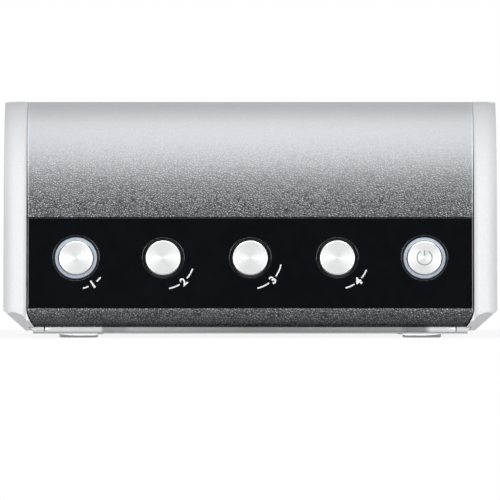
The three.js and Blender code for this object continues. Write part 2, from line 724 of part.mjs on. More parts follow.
// Half the angle that an involute tooth spans at a radius
function toothHalfAngle(count, radius) {
  const pitchRadius = gearModule * count / 2
  const pressure = THREE.MathUtils.degToRad(pressureDegrees)
  const baseRadius = pitchRadius * Math.cos(pressure)
  const slope = Math.acos(Math.min(1, baseRadius / radius))
  const involute = angle => Math.tan(angle) - angle
  const width = gearModule * Math.PI / 2 - backlash
  return width / (2 * pitchRadius) + involute(pressure) - involute(slope)
}

function gearOutline(count, turn) {
  const pitchRadius = gearModule * count / 2
  const baseRadius = pitchRadius * Math.cos(THREE.MathUtils.degToRad(pressureDegrees))
  const rootRadius = pitchRadius - gearModule * dedendumShare
  const tipRadius = pitchRadius + gearModule * addendumShare
  const startRadius = Math.max(baseRadius, rootRadius)
  const radii = []
  for (let i = 0; i <= flankSteps; i++) {
    radii.push(startRadius + (tipRadius - startRadius) * i / flankSteps)
  }
  if (rootRadius < baseRadius) radii.unshift(rootRadius)
  const outline = []
  for (let tooth = 0; tooth < count; tooth++) {
    const middle = turn + 2 * Math.PI * tooth / count
    const rising = radii.map(radius => [radius, middle - toothHalfAngle(count, radius)])
    const falling = radii.map(radius => [radius, middle + toothHalfAngle(count, radius)]).reverse()
    outline.push(...[...rising, ...falling].map(([r, angle]) => [r * Math.cos(angle), r * Math.sin(angle)]))
  }
  return points(outline)
}

function circle(radius, sides = smallSides) {
  const ring = []
  for (let i = 0; i < sides; i++) {
    const angle = 2 * Math.PI * i / sides
    ring.push([radius * Math.cos(angle), radius * Math.sin(angle)])
  }
  return points(ring)
}

// Gears share the level of the drive rollers, so the idlers turn half a tooth to mesh
const gearY = [gearFrontY - filmY, gearRearY - filmY]

function makeRollerGear() {
  return prism('y', gearOutline(teeth.roller, 0), gearY, [circle(driveRoller.shaft + seatGap)])
}

function makeIdlerGear() {
  const outline = gearOutline(teeth.idler, Math.PI / teeth.idler)
  return prism('y', outline, gearY, [circle(idlerPinRadius + runningGap)])
}

function makePinion() {
  const shaftEnd = plateRearY + motor.boreDepth - runningGap - filmY
  return join(
    prism('y', gearOutline(teeth.pinion, 0), gearY),
    bar('y', motor.shaft, [0, 0], [gearY[0], shaftEnd]),
  )
}

// Plate behind the gears: it holds the motor and the far ends of the shafts and pins
function makeGearPlate() {
  const gearTip = gearModule * (teeth.roller / 2 + addendumShare)
  const lowX = idlerX + gearModule * teeth.idler / 2 + gearPlate.pillar
  const lowZ = driveZ - gearTip - 2 * gearPlate.pillar
  const leg = [lowX - gearPlate.legHalf, lowX + gearPlate.legHalf]
  const bandZ = [driveZ - gearPlate.band, driveZ + gearPlate.band]
  const right = [
    [chassisHalf, bandZ[1]], [chassisHalf, bandZ[0]], [leg[1], bandZ[0]],
    [leg[1], lowZ - gearPlate.legHalf], [leg[0], lowZ - gearPlate.legHalf], [leg[0], bandZ[0]],
  ]
  const left = right.map(([x, z]) => [-x, z]).reverse()
  const plateY = [plateFrontY, plateRearY]
  const deep = [plateFrontY - overrun, plateRearY + overrun]
  let body = prism('y', points([...right, ...left]), plateY)
  body = cut(body, bar('y', motor.bossRadius + runningGap, [0, driveZ], deep))
  for (const side of [1, -1]) {
    body = cut(
      body,
      bar('y', driveRoller.shaft + runningGap, [side * rollerX, driveZ], deep),
      bar('y', idlerPinRadius + seatGap, [side * idlerX, driveZ], deep),
    )
    const outer = [side * (chassisHalf - gearPlate.pillar), driveZ - gearPlate.pillar]
    const pillarY = [wallRearY, plateRearY]
    body = join(
      body,
      bar('y', gearPlate.pillar, outer, pillarY),
      bar('y', gearPlate.pillar, [side * lowX, lowZ], pillarY),
    )
  }
  return body
}

// A round motor along Y, with a boss at its front and a bore that its shaft turns in
function makeMotor(size, shaftRadius, bossRadius, bossLength) {
  const bore = shaftRadius + runningGap
  return turned('y', points([
    [0, size.boreDepth], [bore, size.boreDepth], [bore, -bossLength], [bossRadius, -bossLength],
    [bossRadius, 0], [size.radius, 0], [size.radius, size.length], [0, size.length],
  ]))
}

function addTransport() {
  addPiece('chassis', makeChassis(), 'zinc')
  addPiece('lower_film_track', makeLowerTrack(), 'dark')
  addPiece('upper_film_track', makeTrack([trackTopZ, coverPlateZ], pinchRoller.radius), 'dark')
  addPiece('gear_plate', makeGearPlate(), 'zinc')
  const driveShaftY = [wallFrontY - gearSideGap - filmY, plateRearY - filmY]
  const pinchShaftY = [wallFrontY - filmY, wallRearY - filmY]
  const driveRollerSolid = makeRoller(driveRoller, driveShaftY)
  for (const [side, word] of [[-1, 'left'], [1, 'right']]) {
    const onDrive = [side * rollerX, filmY, driveZ]
    addPiece(`${word}_drive_roller`, driveRollerSolid, 'rubber').position.set(...onDrive)
    addPiece(`${word}_roller_gear`, makeRollerGear(), 'acetal').position.set(...onDrive)
    addPiece(`${word}_idler_gear`, makeIdlerGear(), 'acetal').position.set(side * idlerX, filmY, driveZ)
    const pinch = makeRoller(pinchRoller, pinchShaftY)
    addPiece(`${word}_pinch_roller`, pinch, 'rubber').position.set(side * rollerX, filmY, pinchZ)
  }
  addPiece('motor_pinion', makePinion(), 'steel').position.set(0, filmY, driveZ)
  const transportMotor = makeMotor(motor, motor.shaft, motor.bossRadius, gearPlate.thickness)
  addPiece('transport_motor', transportMotor, 'zinc').position.set(0, plateRearY, driveZ)
}

// Lamp, mirror, lens and image sensor

// A box open below, with fins on its roof, a light bar under it and ledges for the diffuser
function makeLampHousing() {
  const [x, y] = [spanAround(0, lamp.length), spanAround(filmY, lamp.width)]
  const insideX = lamp.length / 2 - lamp.wall
  const insideY = spanAround(filmY, lamp.width - 2 * lamp.wall)
  const hollow = slab([-insideX, insideX], insideY, [coverPlateZ - overrun, lampRoofZ - lamp.wall])
  let body = cut(slab(x, y, [coverPlateZ, lampRoofZ]), hollow)
  const ledgeZ = coverPlateZ + diffuser.above
  for (const ledgeX of [[-insideX, diffuser.ledge - insideX], [insideX - diffuser.ledge, insideX]]) {
    body = join(body, slab(ledgeX, insideY, [ledgeZ - diffuser.ledge, ledgeZ]))
  }
  const lightBarZ = [lampRoofZ - lamp.wall - lamp.barHeight, lampRoofZ - lamp.wall / 2]
  body = join(body, slab(spanAround(0, film.width), spanAround(filmY, lamp.barWidth), lightBarZ))
  const finPitch = (lamp.length - lamp.finWidth) / (lamp.finCount - 1)
  for (let i = 0; i < lamp.finCount; i++) {
    const finX = [i * finPitch - lamp.length / 2, i * finPitch - lamp.length / 2 + lamp.finWidth]
    body = join(body, slab(finX, y, [lampRoofZ - lamp.wall / 2, lampRoofZ + lamp.finHeight]))
  }
  return body
}

function makeDiffuser() {
  const x = spanAround(0, lamp.length - 2 * lamp.wall - 2 * runningGap)
  const y = spanAround(filmY, lamp.width - 2 * lamp.wall - 2 * runningGap)
  const lowZ = coverPlateZ + diffuser.above
  return slab(x, y, [lowZ, lowZ + diffuser.thickness])
}

// A hollow wedge on the floor of the chassis, parallel to the back of the mirror
function makeMirrorBracket() {
  const bottomZ = floorZ + chassis.floor
  const slopeZ = (y, depth) => opticsZ - (y - filmY) - depth * Math.SQRT2
  const side = (inset, depth) => {
    const [front, back] = [filmY - mirrorBracket.reach + inset, filmY + mirrorBracket.reach - inset]
    const corners = [[front, bottomZ + inset], [back, bottomZ + inset]]
    return points([...corners, [back, slopeZ(back, depth)], [front, slopeZ(front, depth)]])
  }
  const depth = mirror.thickness + seam
  const hollow = side(mirrorBracket.wall, depth + mirrorBracket.wall).reverse()
  return prism('x', side(0, depth), spanAround(0, mirror.width), [hollow])
}

// Floor with a block at each end for the guide rods and the lead screw
function makeLensBed() {
  const x = spanAround(0, bed.width)
  let body = slab(x, [bedFrontY, bedRearY], [floorZ, floorZ + bed.floor])
  for (const y of [[bedFrontY, bedFrontY + bed.block], [bedRearY - bed.block, bedRearY]]) {
    body = join(body, slab(x, y, [floorZ, floorZ + bed.height]))
  }
  return cutRodHoles(body, [bedFrontY, bedRearY], seatGap)
}

function cutRodHoles(body, span, rodGap) {
  const deep = [span[0] - overrun, span[1] + overrun]
  return cut(
    body,
    bar('y', guideRod.radius + rodGap, [guideRod.spacing / 2, rodZ], deep),
    bar('y', guideRod.radius + rodGap, [-guideRod.spacing / 2, rodZ], deep),
    bar('y', leadScrew.radius + runningGap, [leadScrew.offset, rodZ], deep),
  )
}

function makeCarriage() {
  const y = spanAround(carriageY, carriage.depth)
  const towerX = [-carriage.towerHalf, carriage.towerHalf]
  const body = join(
    slab(spanAround(0, carriage.width), y, [rodZ - carriage.below, rodZ + carriage.above]),
    slab(towerX, y, [rodZ, opticsZ + carriage.towerTop]),
  )
  const bore = bar('y', lens.radius + seatGap, [0, opticsZ], [y[0] - overrun, y[1] + overrun], roundSides)
  return cutRodHoles(cut(body, bore), y, runningGap)
}

function makeLensBarrel() {
  const half = lens.length / 2
  return turned('y', points([
    [lens.bore, -half], [lens.rimRadius, -half], [lens.rimRadius, lens.rim - half],
    [lens.radius, lens.rim - half], [lens.radius, half], [lens.bore, half], [lens.bore, -half],
  ]))
}

function makeLensGlass() {
  const radius = lens.bore - seatGap
  const front = lens.rim - lens.length / 2
  const bulge = share => lens.glassCrown * (1 - share ** 2)
  const shares = [0, 1 / 3, 2 / 3, 1]
  const near = shares.map(share => [radius * share, front - bulge(share)])
  const far = shares.map(share => [radius * share, front + lens.glass + bulge(share)]).reverse()
  return turned('y', points([...near, ...far]))
}

function makeSensorBracket() {
  const x = spanAround(0, sensorPlate.width)
  return join(
    slab(x, [sensorY, sensorY + sensorPlate.thickness], [floorZ, floorZ + sensorPlate.height]),
    slab(x, [sensorY, sensorY + sensorPlate.footDepth], [floorZ, floorZ + sensorPlate.thickness]),
  )
}

function makeSensorBoard() {
  const boardY = [sensorY - board.thickness, sensorY]
  const chipY = [boardY[0] - sensorChip.depth, sensorY]
  return join(
    slab(spanAround(0, sensorBoard.width), boardY, spanAround(opticsZ, sensorBoard.height)),
    slab(spanAround(0, sensorChip.width), chipY, spanAround(opticsZ, sensorChip.height)),
  )
}

function addOptics() {
  addPiece('lamp_housing', makeLampHousing(), 'zinc')
  addPiece('lamp_diffuser', makeDiffuser(), 'lightGuide')
  const glassSpan = [-mirror.thickness, 0]
  const plate = slab(spanAround(0, mirror.width), spanAround(0, mirror.length), glassSpan)
  const mirrorPiece = addPiece('mirror', plate, 'mirrored')
  mirrorPiece.position.set(0, filmY, opticsZ)
  mirrorPiece.rotation.x = -quarterTurn / 2
  addPiece('mirror_bracket', makeMirrorBracket(), 'dark')
  addPiece('lens_bed', makeLensBed(), 'zinc')
  addPiece('lens_carriage', makeCarriage(), 'dark')
  addPiece('lens_barrel', makeLensBarrel(), 'dark').position.set(0, carriageY, opticsZ)
  addPiece('lens_glass', makeLensGlass(), 'glass').position.set(0, carriageY, opticsZ)
  for (const [side, word] of [[-1, 'left'], [1, 'right']]) {
    const rod = bar('y', guideRod.radius, [side * guideRod.spacing / 2, rodZ], [bedFrontY, bedRearY])
    addPiece(`${word}_guide_rod`, rod, 'steel')
  }
  const screwHalf = (bed.length + focusMotor.boreDepth - runningGap) / 2
  const screw = bar('y', leadScrew.radius, [0, 0], [-screwHalf, screwHalf])
  addPiece('lead_screw', screw, 'steel').position.set(leadScrew.offset, bedFrontY + screwHalf, rodZ)
  const drive = makeMotor(focusMotor, leadScrew.radius, focusMotor.radius / 2, 0)
  addPiece('focus_motor', drive, 'zinc').position.set(leadScrew.offset, bedRearY, rodZ)
  addPiece('sensor_bracket', makeSensorBracket(), 'zinc')
  addPiece('sensor_board', makeSensorBoard(), 'circuit')
}

// Main board and sockets

const boardTopZ = floorZ + mainBoard.rise + board.thickness

function makeMainBoard() {
  const { x, y } = boardSpans()
  let body = slab(x, y, [boardTopZ - board.thickness, boardTopZ])
  for (const { acrossShare, alongShare, size, height } of [imageChip, memoryChip, powerChip]) {
    const chipX = spanAround(x[0] + mainBoard.width * acrossShare, size)
    const chipY = spanAround(y[0] + mainBoard.length * alongShare, size)
    body = join(body, slab(chipX, chipY, [boardTopZ - board.thickness, boardTopZ + height]))
  }
  return body
}

function socketSpans(size) {
  const left = boardSpans().x[0] + size.fromEdge
  const mouthY = coverRearY - seam
  const z = [boardTopZ, boardTopZ + size.height]
  return { x: [left, left + size.width], y: [mouthY - size.depth, mouthY], z }
}

function makeUsbSocket() {
  const { x, y, z } = socketSpans(usbSocket)
  const across = [x[0] + usbSocket.wall, x[1] - usbSocket.wall]
  const up = [z[0] + usbSocket.wall, z[1] - usbSocket.wall]
  const endY = y[1] - usbSocket.mouthDepth
  const mouth = slab(across, [endY, y[1] + overrun], up)
  const tongueX = spanAround((x[0] + x[1]) / 2, tongue.width)
  const tongueZ = spanAround((z[0] + z[1]) / 2, tongue.height)
  return join(cut(slab(x, y, z), mouth), slab(tongueX, [y[0], endY + tongue.length], tongueZ))
}

function makePowerJack() {
  const { x, y, z } = socketSpans(powerJack)
  const centre = [(x[0] + x[1]) / 2, (z[0] + z[1]) / 2]
  const endY = y[1] - powerJack.boreDepth
  const bore = bar('y', powerJack.boreRadius, centre, [endY, y[1] + overrun])
  return join(cut(slab(x, y, z), bore), bar('y', powerJack.pin, centre, [y[0], y[1] - powerJack.pin]))
}

function addElectronics() {
  addPiece('main_board', makeMainBoard(), 'circuit')
  addPiece('usb_socket', makeUsbSocket(), 'zinc')
  addPiece('power_jack', makePowerJack(), 'dark')
}

addCase()
addPanel()
addTransport()
addOptics()
addElectronics()

export default scanner
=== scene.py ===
"""Looks of a desktop scanner for 35 mm negatives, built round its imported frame.

Metres, +Z up, front towards -Y. The sections follow the scanner as it is put together.
"""

from math import cos, pi, radians, sin

import bmesh
import bpy
import numpy as np
from mathutils import Matrix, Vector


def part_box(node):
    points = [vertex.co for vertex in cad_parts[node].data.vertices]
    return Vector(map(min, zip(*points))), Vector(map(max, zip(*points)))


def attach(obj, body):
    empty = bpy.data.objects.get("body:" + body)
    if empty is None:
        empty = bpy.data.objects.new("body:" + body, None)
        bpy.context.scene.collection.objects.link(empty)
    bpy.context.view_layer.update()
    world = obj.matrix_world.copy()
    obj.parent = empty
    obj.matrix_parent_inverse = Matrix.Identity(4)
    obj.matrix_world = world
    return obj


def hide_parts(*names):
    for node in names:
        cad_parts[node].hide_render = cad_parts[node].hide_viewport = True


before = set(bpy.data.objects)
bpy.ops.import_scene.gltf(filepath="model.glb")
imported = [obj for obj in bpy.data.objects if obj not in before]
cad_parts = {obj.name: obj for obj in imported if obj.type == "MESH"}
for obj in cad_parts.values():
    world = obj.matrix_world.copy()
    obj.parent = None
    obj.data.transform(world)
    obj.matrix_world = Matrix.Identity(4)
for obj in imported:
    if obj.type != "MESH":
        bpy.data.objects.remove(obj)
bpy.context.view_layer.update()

# Photographer's camera: level with the buttons and so far off that the cheeks look parallel.
# The picture is as wide as the case and a little more.
mm = 0.001
picture_width = 180.2 * mm
camera_distance = 6
camera_height = 31.6 * mm
camera_side = -0.1 * mm
farthest_seen = 100

panel_low, panel_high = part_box("button_panel")
camera_data = bpy.data.cameras.new("photo_camera")
camera_data.lens = camera_data.sensor_width * camera_distance / picture_width
camera_data.clip_end = farthest_seen
camera = bpy.data.objects.new("photo_camera", camera_data)
camera.location = (camera_side, (panel_low.y + panel_high.y) / 2 - camera_distance, camera_height)
camera.rotation_euler = (pi / 2, 0, 0)
scene = bpy.context.scene
scene.collection.objects.link(camera)
scene.camera = camera
scene.view_settings.view_transform = "Standard"


def add_node(tree, kind, sockets=None, **settings):
    """A node of that kind, whose sockets take a plain value or another node's output."""
    made = tree.nodes.new(kind)
    for name, value in settings.items():
        setattr(made, name, value)
    for name, value in (sockets or {}).items():
        if isinstance(value, bpy.types.NodeSocket):
            tree.links.new(value, made.inputs[name])
        else:
            made.inputs[name].default_value = value
    return made


def worked(tree, operation, *values):
    """The result of one sum on plain values or other nodes' outputs."""
    return add_node(tree, "ShaderNodeMath", dict(enumerate(values)), operation=operation).outputs[0]


def ranged(tree, value, start, end, low=0.0, high=1.0, shape="LINEAR"):
    """A value that runs from low to high as another runs from start to end, and keeps to those."""
    sockets = {"Value": value, "From Min": start, "From Max": end, "To Min": low, "To Max": high}
    return add_node(tree, "ShaderNodeMapRange", sockets, interpolation_type=shape).outputs[0]


def object_place(tree):
    """The place on a piece in the scanner's own metres."""
    return add_node(tree, "ShaderNodeTexCoord").outputs["Object"]


# Sweep of white paper, and the room's plain fill light. Anything that looks past the
# scanner, the camera or a gloss surface, sees white paper; near the feet it keeps a shadow.
room_fill = 0.2
paper_white = 0.18
paper_reach = 20
shadow_radius = 0.3
white_radius = 0.75
paper_lift = 0.88

world = bpy.data.worlds.new("studio")
world.use_nodes = True
scene.world = world
air = world.node_tree


def seen_mask(tree):
    """1 on a ray from the camera, off a gloss surface or through glass, else 0."""
    rays = add_node(tree, "ShaderNodeLightPath").outputs
    seen = worked(tree, "MAXIMUM", rays["Is Camera Ray"], rays["Is Glossy Ray"])
    return worked(tree, "MAXIMUM", seen, rays["Is Transmission Ray"])


def new_material(name, **settings):
    """A material, its node tree and its shader, with plain values on the shader's sockets."""
    made = bpy.data.materials.new(name)
    made.use_nodes = True
    shader = made.node_tree.nodes["Principled BSDF"]
    for socket, value in settings.items():
        shader.inputs[socket.replace("_", " ")].default_value = value
    return made, made.node_tree, shader


def studio_card(name, middle, half, turn, material):
    """A flat rectangle of the studio, by its middle, its half width and height, and its axes
    as the columns of a turn."""
    corners = np.array([(-1, -1, 0), (1, -1, 0), (1, 1, 0), (-1, 1, 0)]) * (*half, 1)
    mesh = bpy.data.meshes.new(name)
    mesh.from_pydata((corners @ turn.T + middle).tolist(), [], [(0, 1, 2, 3)])
    mesh.materials.append(material)
    card = bpy.data.objects.new(name, mesh)
    scene.collection.objects.link(card)
    return card


air.links.new(ranged(air, seen_mask(air), 0, 1, low=room_fill), air.nodes["Background"].inputs["Strength"])
air.nodes["Background"].inputs["Color"].default_value = (1, 1, 1, 1)

paper, sheet, shader = new_material("white_paper", Roughness=0.9, Specular_IOR_Level=0,
                                    Emission_Color=(1, 1, 1, 1))
away = add_node(sheet, "ShaderNodeVectorMath", {0: object_place(sheet)}, operation="LENGTH").outputs["Value"]
far = ranged(sheet, away, shadow_radius, white_radius, shape="SMOOTHSTEP")
glow = worked(sheet, "MULTIPLY", ranged(sheet, far, 0, 1, low=paper_lift), seen_mask(sheet))
shade = ranged(sheet, far, 0, 1, low=paper_white, high=0)
sheet.links.new(shade, shader.inputs["Base Color"])
sheet.links.new(glow, shader.inputs["Emission Strength"])
studio_card("paper_floor", (0, 0, 0), (paper_reach, paper_reach), np.eye(3), paper)

# Lamps: soft boxes above, to each side and behind, by place, aim, size and radiance. The one
# above lights reflections only. Two black flags, in front and on the floor, which only gloss
# surfaces see, keep the button panel and the band under it dark.
crown_aim = (0, -0.1, 0.05)
soft_boxes = {
    "top_soft_box": ((0, -0.1, 0.62), (0, -0.1, 0), (0.7, 0.72), 8.7),
    "left_soft_box": ((-0.55, -0.95, 0.24), crown_aim, (0.5, 0.46), 7.95),
    "right_soft_box": ((0.55, -0.95, 0.24), crown_aim, (0.5, 0.46), 7.95),
    "rear_soft_box": ((0, 1.0, 0.9), crown_aim, (0.9, 0.5), 1.2),
}
flag_place = (0, -0.57, 0.26)
flag_half = (0.16, 0.2)
floor_flag_place = (0, -0.41, 0.0004)
floor_flag_half = (0.25, 0.25)


def aimed(place, aim):
    """Axes of a turn, as columns, that points local -Z from the place to the aim and keeps
    local Y as upright as it can be."""
    back = np.subtract(place, aim)
    back = back / np.linalg.norm(back)
    across = np.cross((0, 1, 0) if abs(back[2]) > 0.9 else (0, 0, 1), back)
    across = across / np.linalg.norm(across)
    return np.stack([across, np.cross(back, across), back], 1)


for name, (place, aim, size, radiance) in soft_boxes.items():
    lamp = bpy.data.lights.new(name, "AREA")
    lamp.shape = "RECTANGLE"
    lamp.size, lamp.size_y = size
    lamp.energy = pi * radiance * size[0] * size[1]
    holder = bpy.data.objects.new(name, lamp)
    holder.matrix_world = Matrix.Translation(place) @ Matrix(aimed(place, aim).tolist()).to_4x4()
    holder.visible_diffuse = name != "top_soft_box"
    scene.collection.objects.link(holder)

flag_black, _, _ = new_material("flag_black", Base_Color=(0.01, 0.01, 0.01, 1), Specular_IOR_Level=0)
for flag in (studio_card("panel_flag", flag_place, flag_half, aimed(flag_place, crown_aim), flag_black),
             studio_card("floor_flag", floor_flag_place, floor_flag_half, np.eye(3), flag_black)):
    for ray in ("camera", "diffuse", "transmission", "shadow"):
        setattr(flag, f"visible_{ray}", False)

# Base pan: a tray moulded in plastic and painted silver like the cheeks, with slots for
# air. All the rest stands on it. Here its paint is a dark grey, painted shade under the lower
# edge of the case. Paint hides a very fine flake that only shows close to.


def shader_group(name, inputs, outputs):
    """An empty node group with those number inputs and those outputs, and its two end nodes."""
    group = bpy.data.node_groups.new(name, "ShaderNodeTree")
    for label, value in inputs.items():
        socket = group.interface.new_socket(label, in_out="INPUT", socket_type="NodeSocketFloat")
        socket.default_value = value
    for label in outputs:
        group.interface.new_socket(label, in_out="OUTPUT", socket_type="NodeSocketFloat")
    return group, group.nodes.new("NodeGroupInput").outputs, group.nodes.new("NodeGroupOutput").inputs


def noise(tree, place, scale, detail, output="Fac"):
    """Soft noise at a place, with about that many patches to a unit of length."""
    sockets = {"Vector": place, "Scale": scale, "Detail": detail}
    return add_node(tree, "ShaderNodeTexNoise", sockets).outputs[output]


# Mottle: two sizes of noise, one cell long and four cells long, as a mask from 0 to 1
mottle, given, wanted = shader_group("mottle", {"Cell": 1 * mm}, ["Mask", "Fine"])
place = object_place(mottle)
fine = noise(mottle, place, worked(mottle, "DIVIDE", 1.0, given["Cell"]), 2.0)
broad = noise(mottle, place, worked(mottle, "DIVIDE", 0.25, given["Cell"]), 2.0)
mottle.links.new(ranged(mottle, worked(mottle, "ADD", fine, broad), 0.7, 1.3), wanted["Mask"])
mottle.links.new(fine, wanted["Fine"])


def use_group(tree, group, **sockets):
    """That node group placed in a tree, with its own values."""
    return add_node(tree, "ShaderNodeGroup", sockets, node_tree=group).outputs


def blend_colours(tree, mask, dark, light):
    """A colour between two, by a mask."""
    sockets = {"Factor": mask, "A": (*dark, 1), "B": (*light, 1)}
    return add_node(tree, "ShaderNodeMix", sockets, data_type="RGBA").outputs["Result"]


def vary(tree, socket, mask, low, high):
    """A shader value that runs from low to high with a mask."""
    tree.links.new(ranged(tree, mask, 0, 1, low, high), socket)


def emboss(tree, shader, height, depth):
    """A bump of that depth in metres under the shader."""
    bump = add_node(tree, "ShaderNodeBump", {"Height": height, "Distance": depth, "Strength": 1.0})
    tree.links.new(bump.outputs["Normal"], shader.inputs["Normal"])


def mottled(name, dark, light, cell, rough, depth, **settings):
    """A material whose colour, gloss and skin all vary a little with the mottle."""
    made, tree, shader = new_material(name, **settings)
    outputs = use_group(tree, mottle, Cell=cell)
    tree.links.new(blend_colours(tree, outputs["Mask"], dark, light), shader.inputs["Base Color"])
    vary(tree, shader.inputs["Roughness"], outputs["Mask"], *rough)
    emboss(tree, shader, outputs["Fine"], depth)
    return made


def finish_nodes(material, slot, *names):
    """The frame's own nodes in a finish."""
    for name in names:
        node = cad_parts[name]
        node.material_slots[0].material = material


# Painted shade: the pan's silver is made a dark grey
shaded_pan_paint = mottled("shaded_pan_paint", (0.27, 0.275, 0.28), (0.33, 0.335, 0.34), 0.22 * mm,
                    (0.4, 0.5), 0.004 * mm, Metallic=0.15)
finish_nodes(shaded_pan_paint, "silver_plastic", "base_pan")

# Feet: four pads of pale clear rubber under the corners of the pan, cast with a soft rolled
# edge and stuck on. They hold the pan clear of the table.
foot_rounding = 0.5 * mm
around_steps = 96
sharp_angle = radians(40)


def grid_faces(rows, columns, close_rows=False, close_columns=False):
    """Quads of a grid of points numbered row by row. A closed way joins its end to its start."""
    row, column = np.meshgrid(np.arange(rows if close_rows else rows - 1),
                              np.arange(columns if close_columns else columns - 1), indexing="ij")
    row, column = row.ravel(), column.ravel()
    below, beside = (row + 1) % rows, (column + 1) % columns
    return np.stack([row * columns + column, row * columns + beside,
                     below * columns + beside, below * columns + column], 1).tolist()


def build(name, points, faces, material):
    """An object of those points and faces: doubles merged, faces turned outwards, smooth
    but for edges sharper than the sharp angle."""
    mesh = bpy.data.meshes.new(name)
    mesh.from_pydata(np.reshape(points, (-1, 3)).tolist(), [], faces)
    shape = bmesh.new()
    shape.from_mesh(mesh)
    bmesh.ops.remove_doubles(shape, verts=shape.verts, dist=0.0005 * mm)
    bmesh.ops.recalc_face_normals(shape, faces=shape.faces)
    shape.to_mesh(mesh)
    shape.free()
    mesh.materials.append(material)
    mesh.shade_smooth()
    mesh.set_sharp_from_angle(angle=sharp_angle)
    made = bpy.data.objects.new(name, mesh)
    scene.collection.objects.link(made)
    return made


def turned(profile, steps=around_steps):
    """Points and faces of a profile of (radius, height) turned round local Z, row by row."""
    radius, height = np.transpose(profile)
    angle = np.linspace(0, 2 * pi, steps, endpoint=False)
    points = np.stack([np.outer(radius, np.cos(angle)), np.outer(radius, np.sin(angle)),
                       np.repeat(height[:, None], steps, 1)], 2)
    return points, grid_faces(len(profile), steps, close_columns=True)


def quarter(radius, centre, start, steps=6):
    """Part of a profile: a quarter circle about a centre, from an angle on, anticlockwise."""
    angle = np.linspace(start, start + pi / 2, steps + 1)
    return np.stack([centre[0] + radius * np.cos(angle), centre[1] + radius * np.sin(angle)], 1)


def stand_for(piece, body, slot, *nodes):
    """The piece rides on a body and stands for those nodes, which it hides. The slot is not used."""
    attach(piece, body)
    if nodes:
        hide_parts(*nodes)
    return piece


clear_rubber = mottled("clear_rubber", (0.97, 0.975, 0.98), (0.99, 0.992, 0.995), 0.6 * mm,
                       (0.02, 0.05), 0.001 * mm, Transmission_Weight=1.0, IOR=1.08)
for end in ("front", "rear"):
    for side in ("left", "right"):
        low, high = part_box(f"{end}_{side}_foot")
        radius = (high.x - low.x) / 2
        rolled = quarter(foot_rounding, (radius - foot_rounding, low.z + foot_rounding), -pi / 2)
        profile = [(0, low.z), *rolled, (radius, high.z), (0, high.z)]
        points, faces = turned(profile)
        points += ((low.x + high.x) / 2, (low.y + high.y) / 2, 0)
        pad = build(f"{end}_{side}_rubber_foot", points, faces, clear_rubber)
        stand_for(pad, "case", "foot_rubber", f"{end}_{side}_foot")

# Main board and its sockets: a green board on four posts of the pan, with a steel shell for
# the data plug and a black jack for the power plug, both level with the rear panel.
trace_pitch = 1.3 * mm
trace_length = 9 * trace_pitch
trace_width = 0.12 * trace_pitch
circuit_green, tree, shader = new_material("circuit_green", Roughness=0.35, Coat_Weight=0.4)
traces = add_node(tree, "ShaderNodeTexBrick",
                  {"Vector": object_place(tree), "Scale": 1.0, "Brick Width": trace_length,
                   "Row Height": trace_pitch, "Mortar Size": trace_width, "Mortar": (0.03, 0.19, 0.09, 1),
                   "Color1": (0.012, 0.09, 0.045, 1), "Color2": (0.015, 0.105, 0.05, 1)})
tree.links.new(traces.outputs["Color"], shader.inputs["Base Color"])
emboss(tree, shader, traces.outputs["Fac"], 0.03 * mm)
finish_nodes(circuit_green, "circuit_board", "main_board", "button_board", "sensor_board")

# Rolled or drawn metal: fine lines along one way, which also carry the gloss
drawn, given, wanted = shader_group("drawn_lines", {"Line": 0.1 * mm, "Stretch": 40.0}, ["Mask"])
per_metre = worked(drawn, "DIVIDE", 1.0, given["Line"])
along = worked(drawn, "DIVIDE", per_metre, given["Stretch"])
scales = add_node(drawn, "ShaderNodeCombineXYZ", {"X": along, "Y": per_metre, "Z": per_metre})
stretched = add_node(drawn, "ShaderNodeVectorMath", {0: object_place(drawn), 1: scales.outputs[0]},
                     operation="MULTIPLY")
lines = noise(drawn, stretched.outputs["Vector"], 1.0, 3.0)
drawn.links.new(ranged(drawn, lines, 0.3, 0.7), wanted["Mask"])


def drawn_metal(name, dark, light, line, rough, depth, **settings):
    """A metal whose colour, gloss and skin follow the drawn lines."""
    made, tree, shader = new_material(name, Metallic=1.0, **settings)
    mask = use_group(tree, drawn, Line=line)["Mask"]
    tree.links.new(blend_colours(tree, mask, dark, light), shader.inputs["Base Color"])
    vary(tree, shader.inputs["Roughness"], mask, *rough)
    emboss(tree, shader, mask, depth)
    return made


plated_steel = drawn_metal("plated_steel", (0.5, 0.51, 0.53), (0.66, 0.67, 0.69), 0.15 * mm,
                           (0.28, 0.45), 0.004 * mm)
dark_plastic = mottled("dark_plastic", (0.018, 0.018, 0.02), (0.032, 0.032, 0.035), 0.35 * mm,
                       (0.5, 0.65), 0.03 * mm)
finish_nodes(plated_steel, "plated_steel", "usb_socket")
finish_nodes(dark_plastic, "dark_plastic", "power_jack")

# Chassis and film path: a folded steel frame stands on the pan under the slot of the film.
# Two black film tracks lie in it, with rubber rollers above and below, and white acetal gears
# turn them from a small motor.
finish_nodes(plated_steel, "plated_steel", "chassis", "gear_plate", "transport_motor")
finish_nodes(dark_plastic, "dark_plastic", "lower_film_track", "upper_film_track")

roller_rubber = mottled("roller_rubber", (0.022, 0.022, 0.021), (0.04, 0.04, 0.038), 0.12 * mm,
                        (0.75, 0.9), 0.02 * mm)
finish_nodes(roller_rubber, "roller_rubber", "left_drive_roller", "right_drive_roller",
             "left_pinch_roller", "right_pinch_roller")

white_acetal = mottled("white_acetal", (0.74, 0.72, 0.66), (0.82, 0.8, 0.74), 0.5 * mm,
                       (0.35, 0.5), 0.006 * mm, Subsurface_Weight=0.1)
finish_nodes(white_acetal, "acetal", "left_roller_gear", "right_roller_gear",
             "left_idler_gear", "right_idler_gear")

bright_steel = drawn_metal("bright_steel", (0.6, 0.61, 0.62), (0.75, 0.76, 0.77), 0.05 * mm,
                           (0.18, 0.3), 0.002 * mm)
finish_nodes(bright_steel, "steel", "motor_pinion")

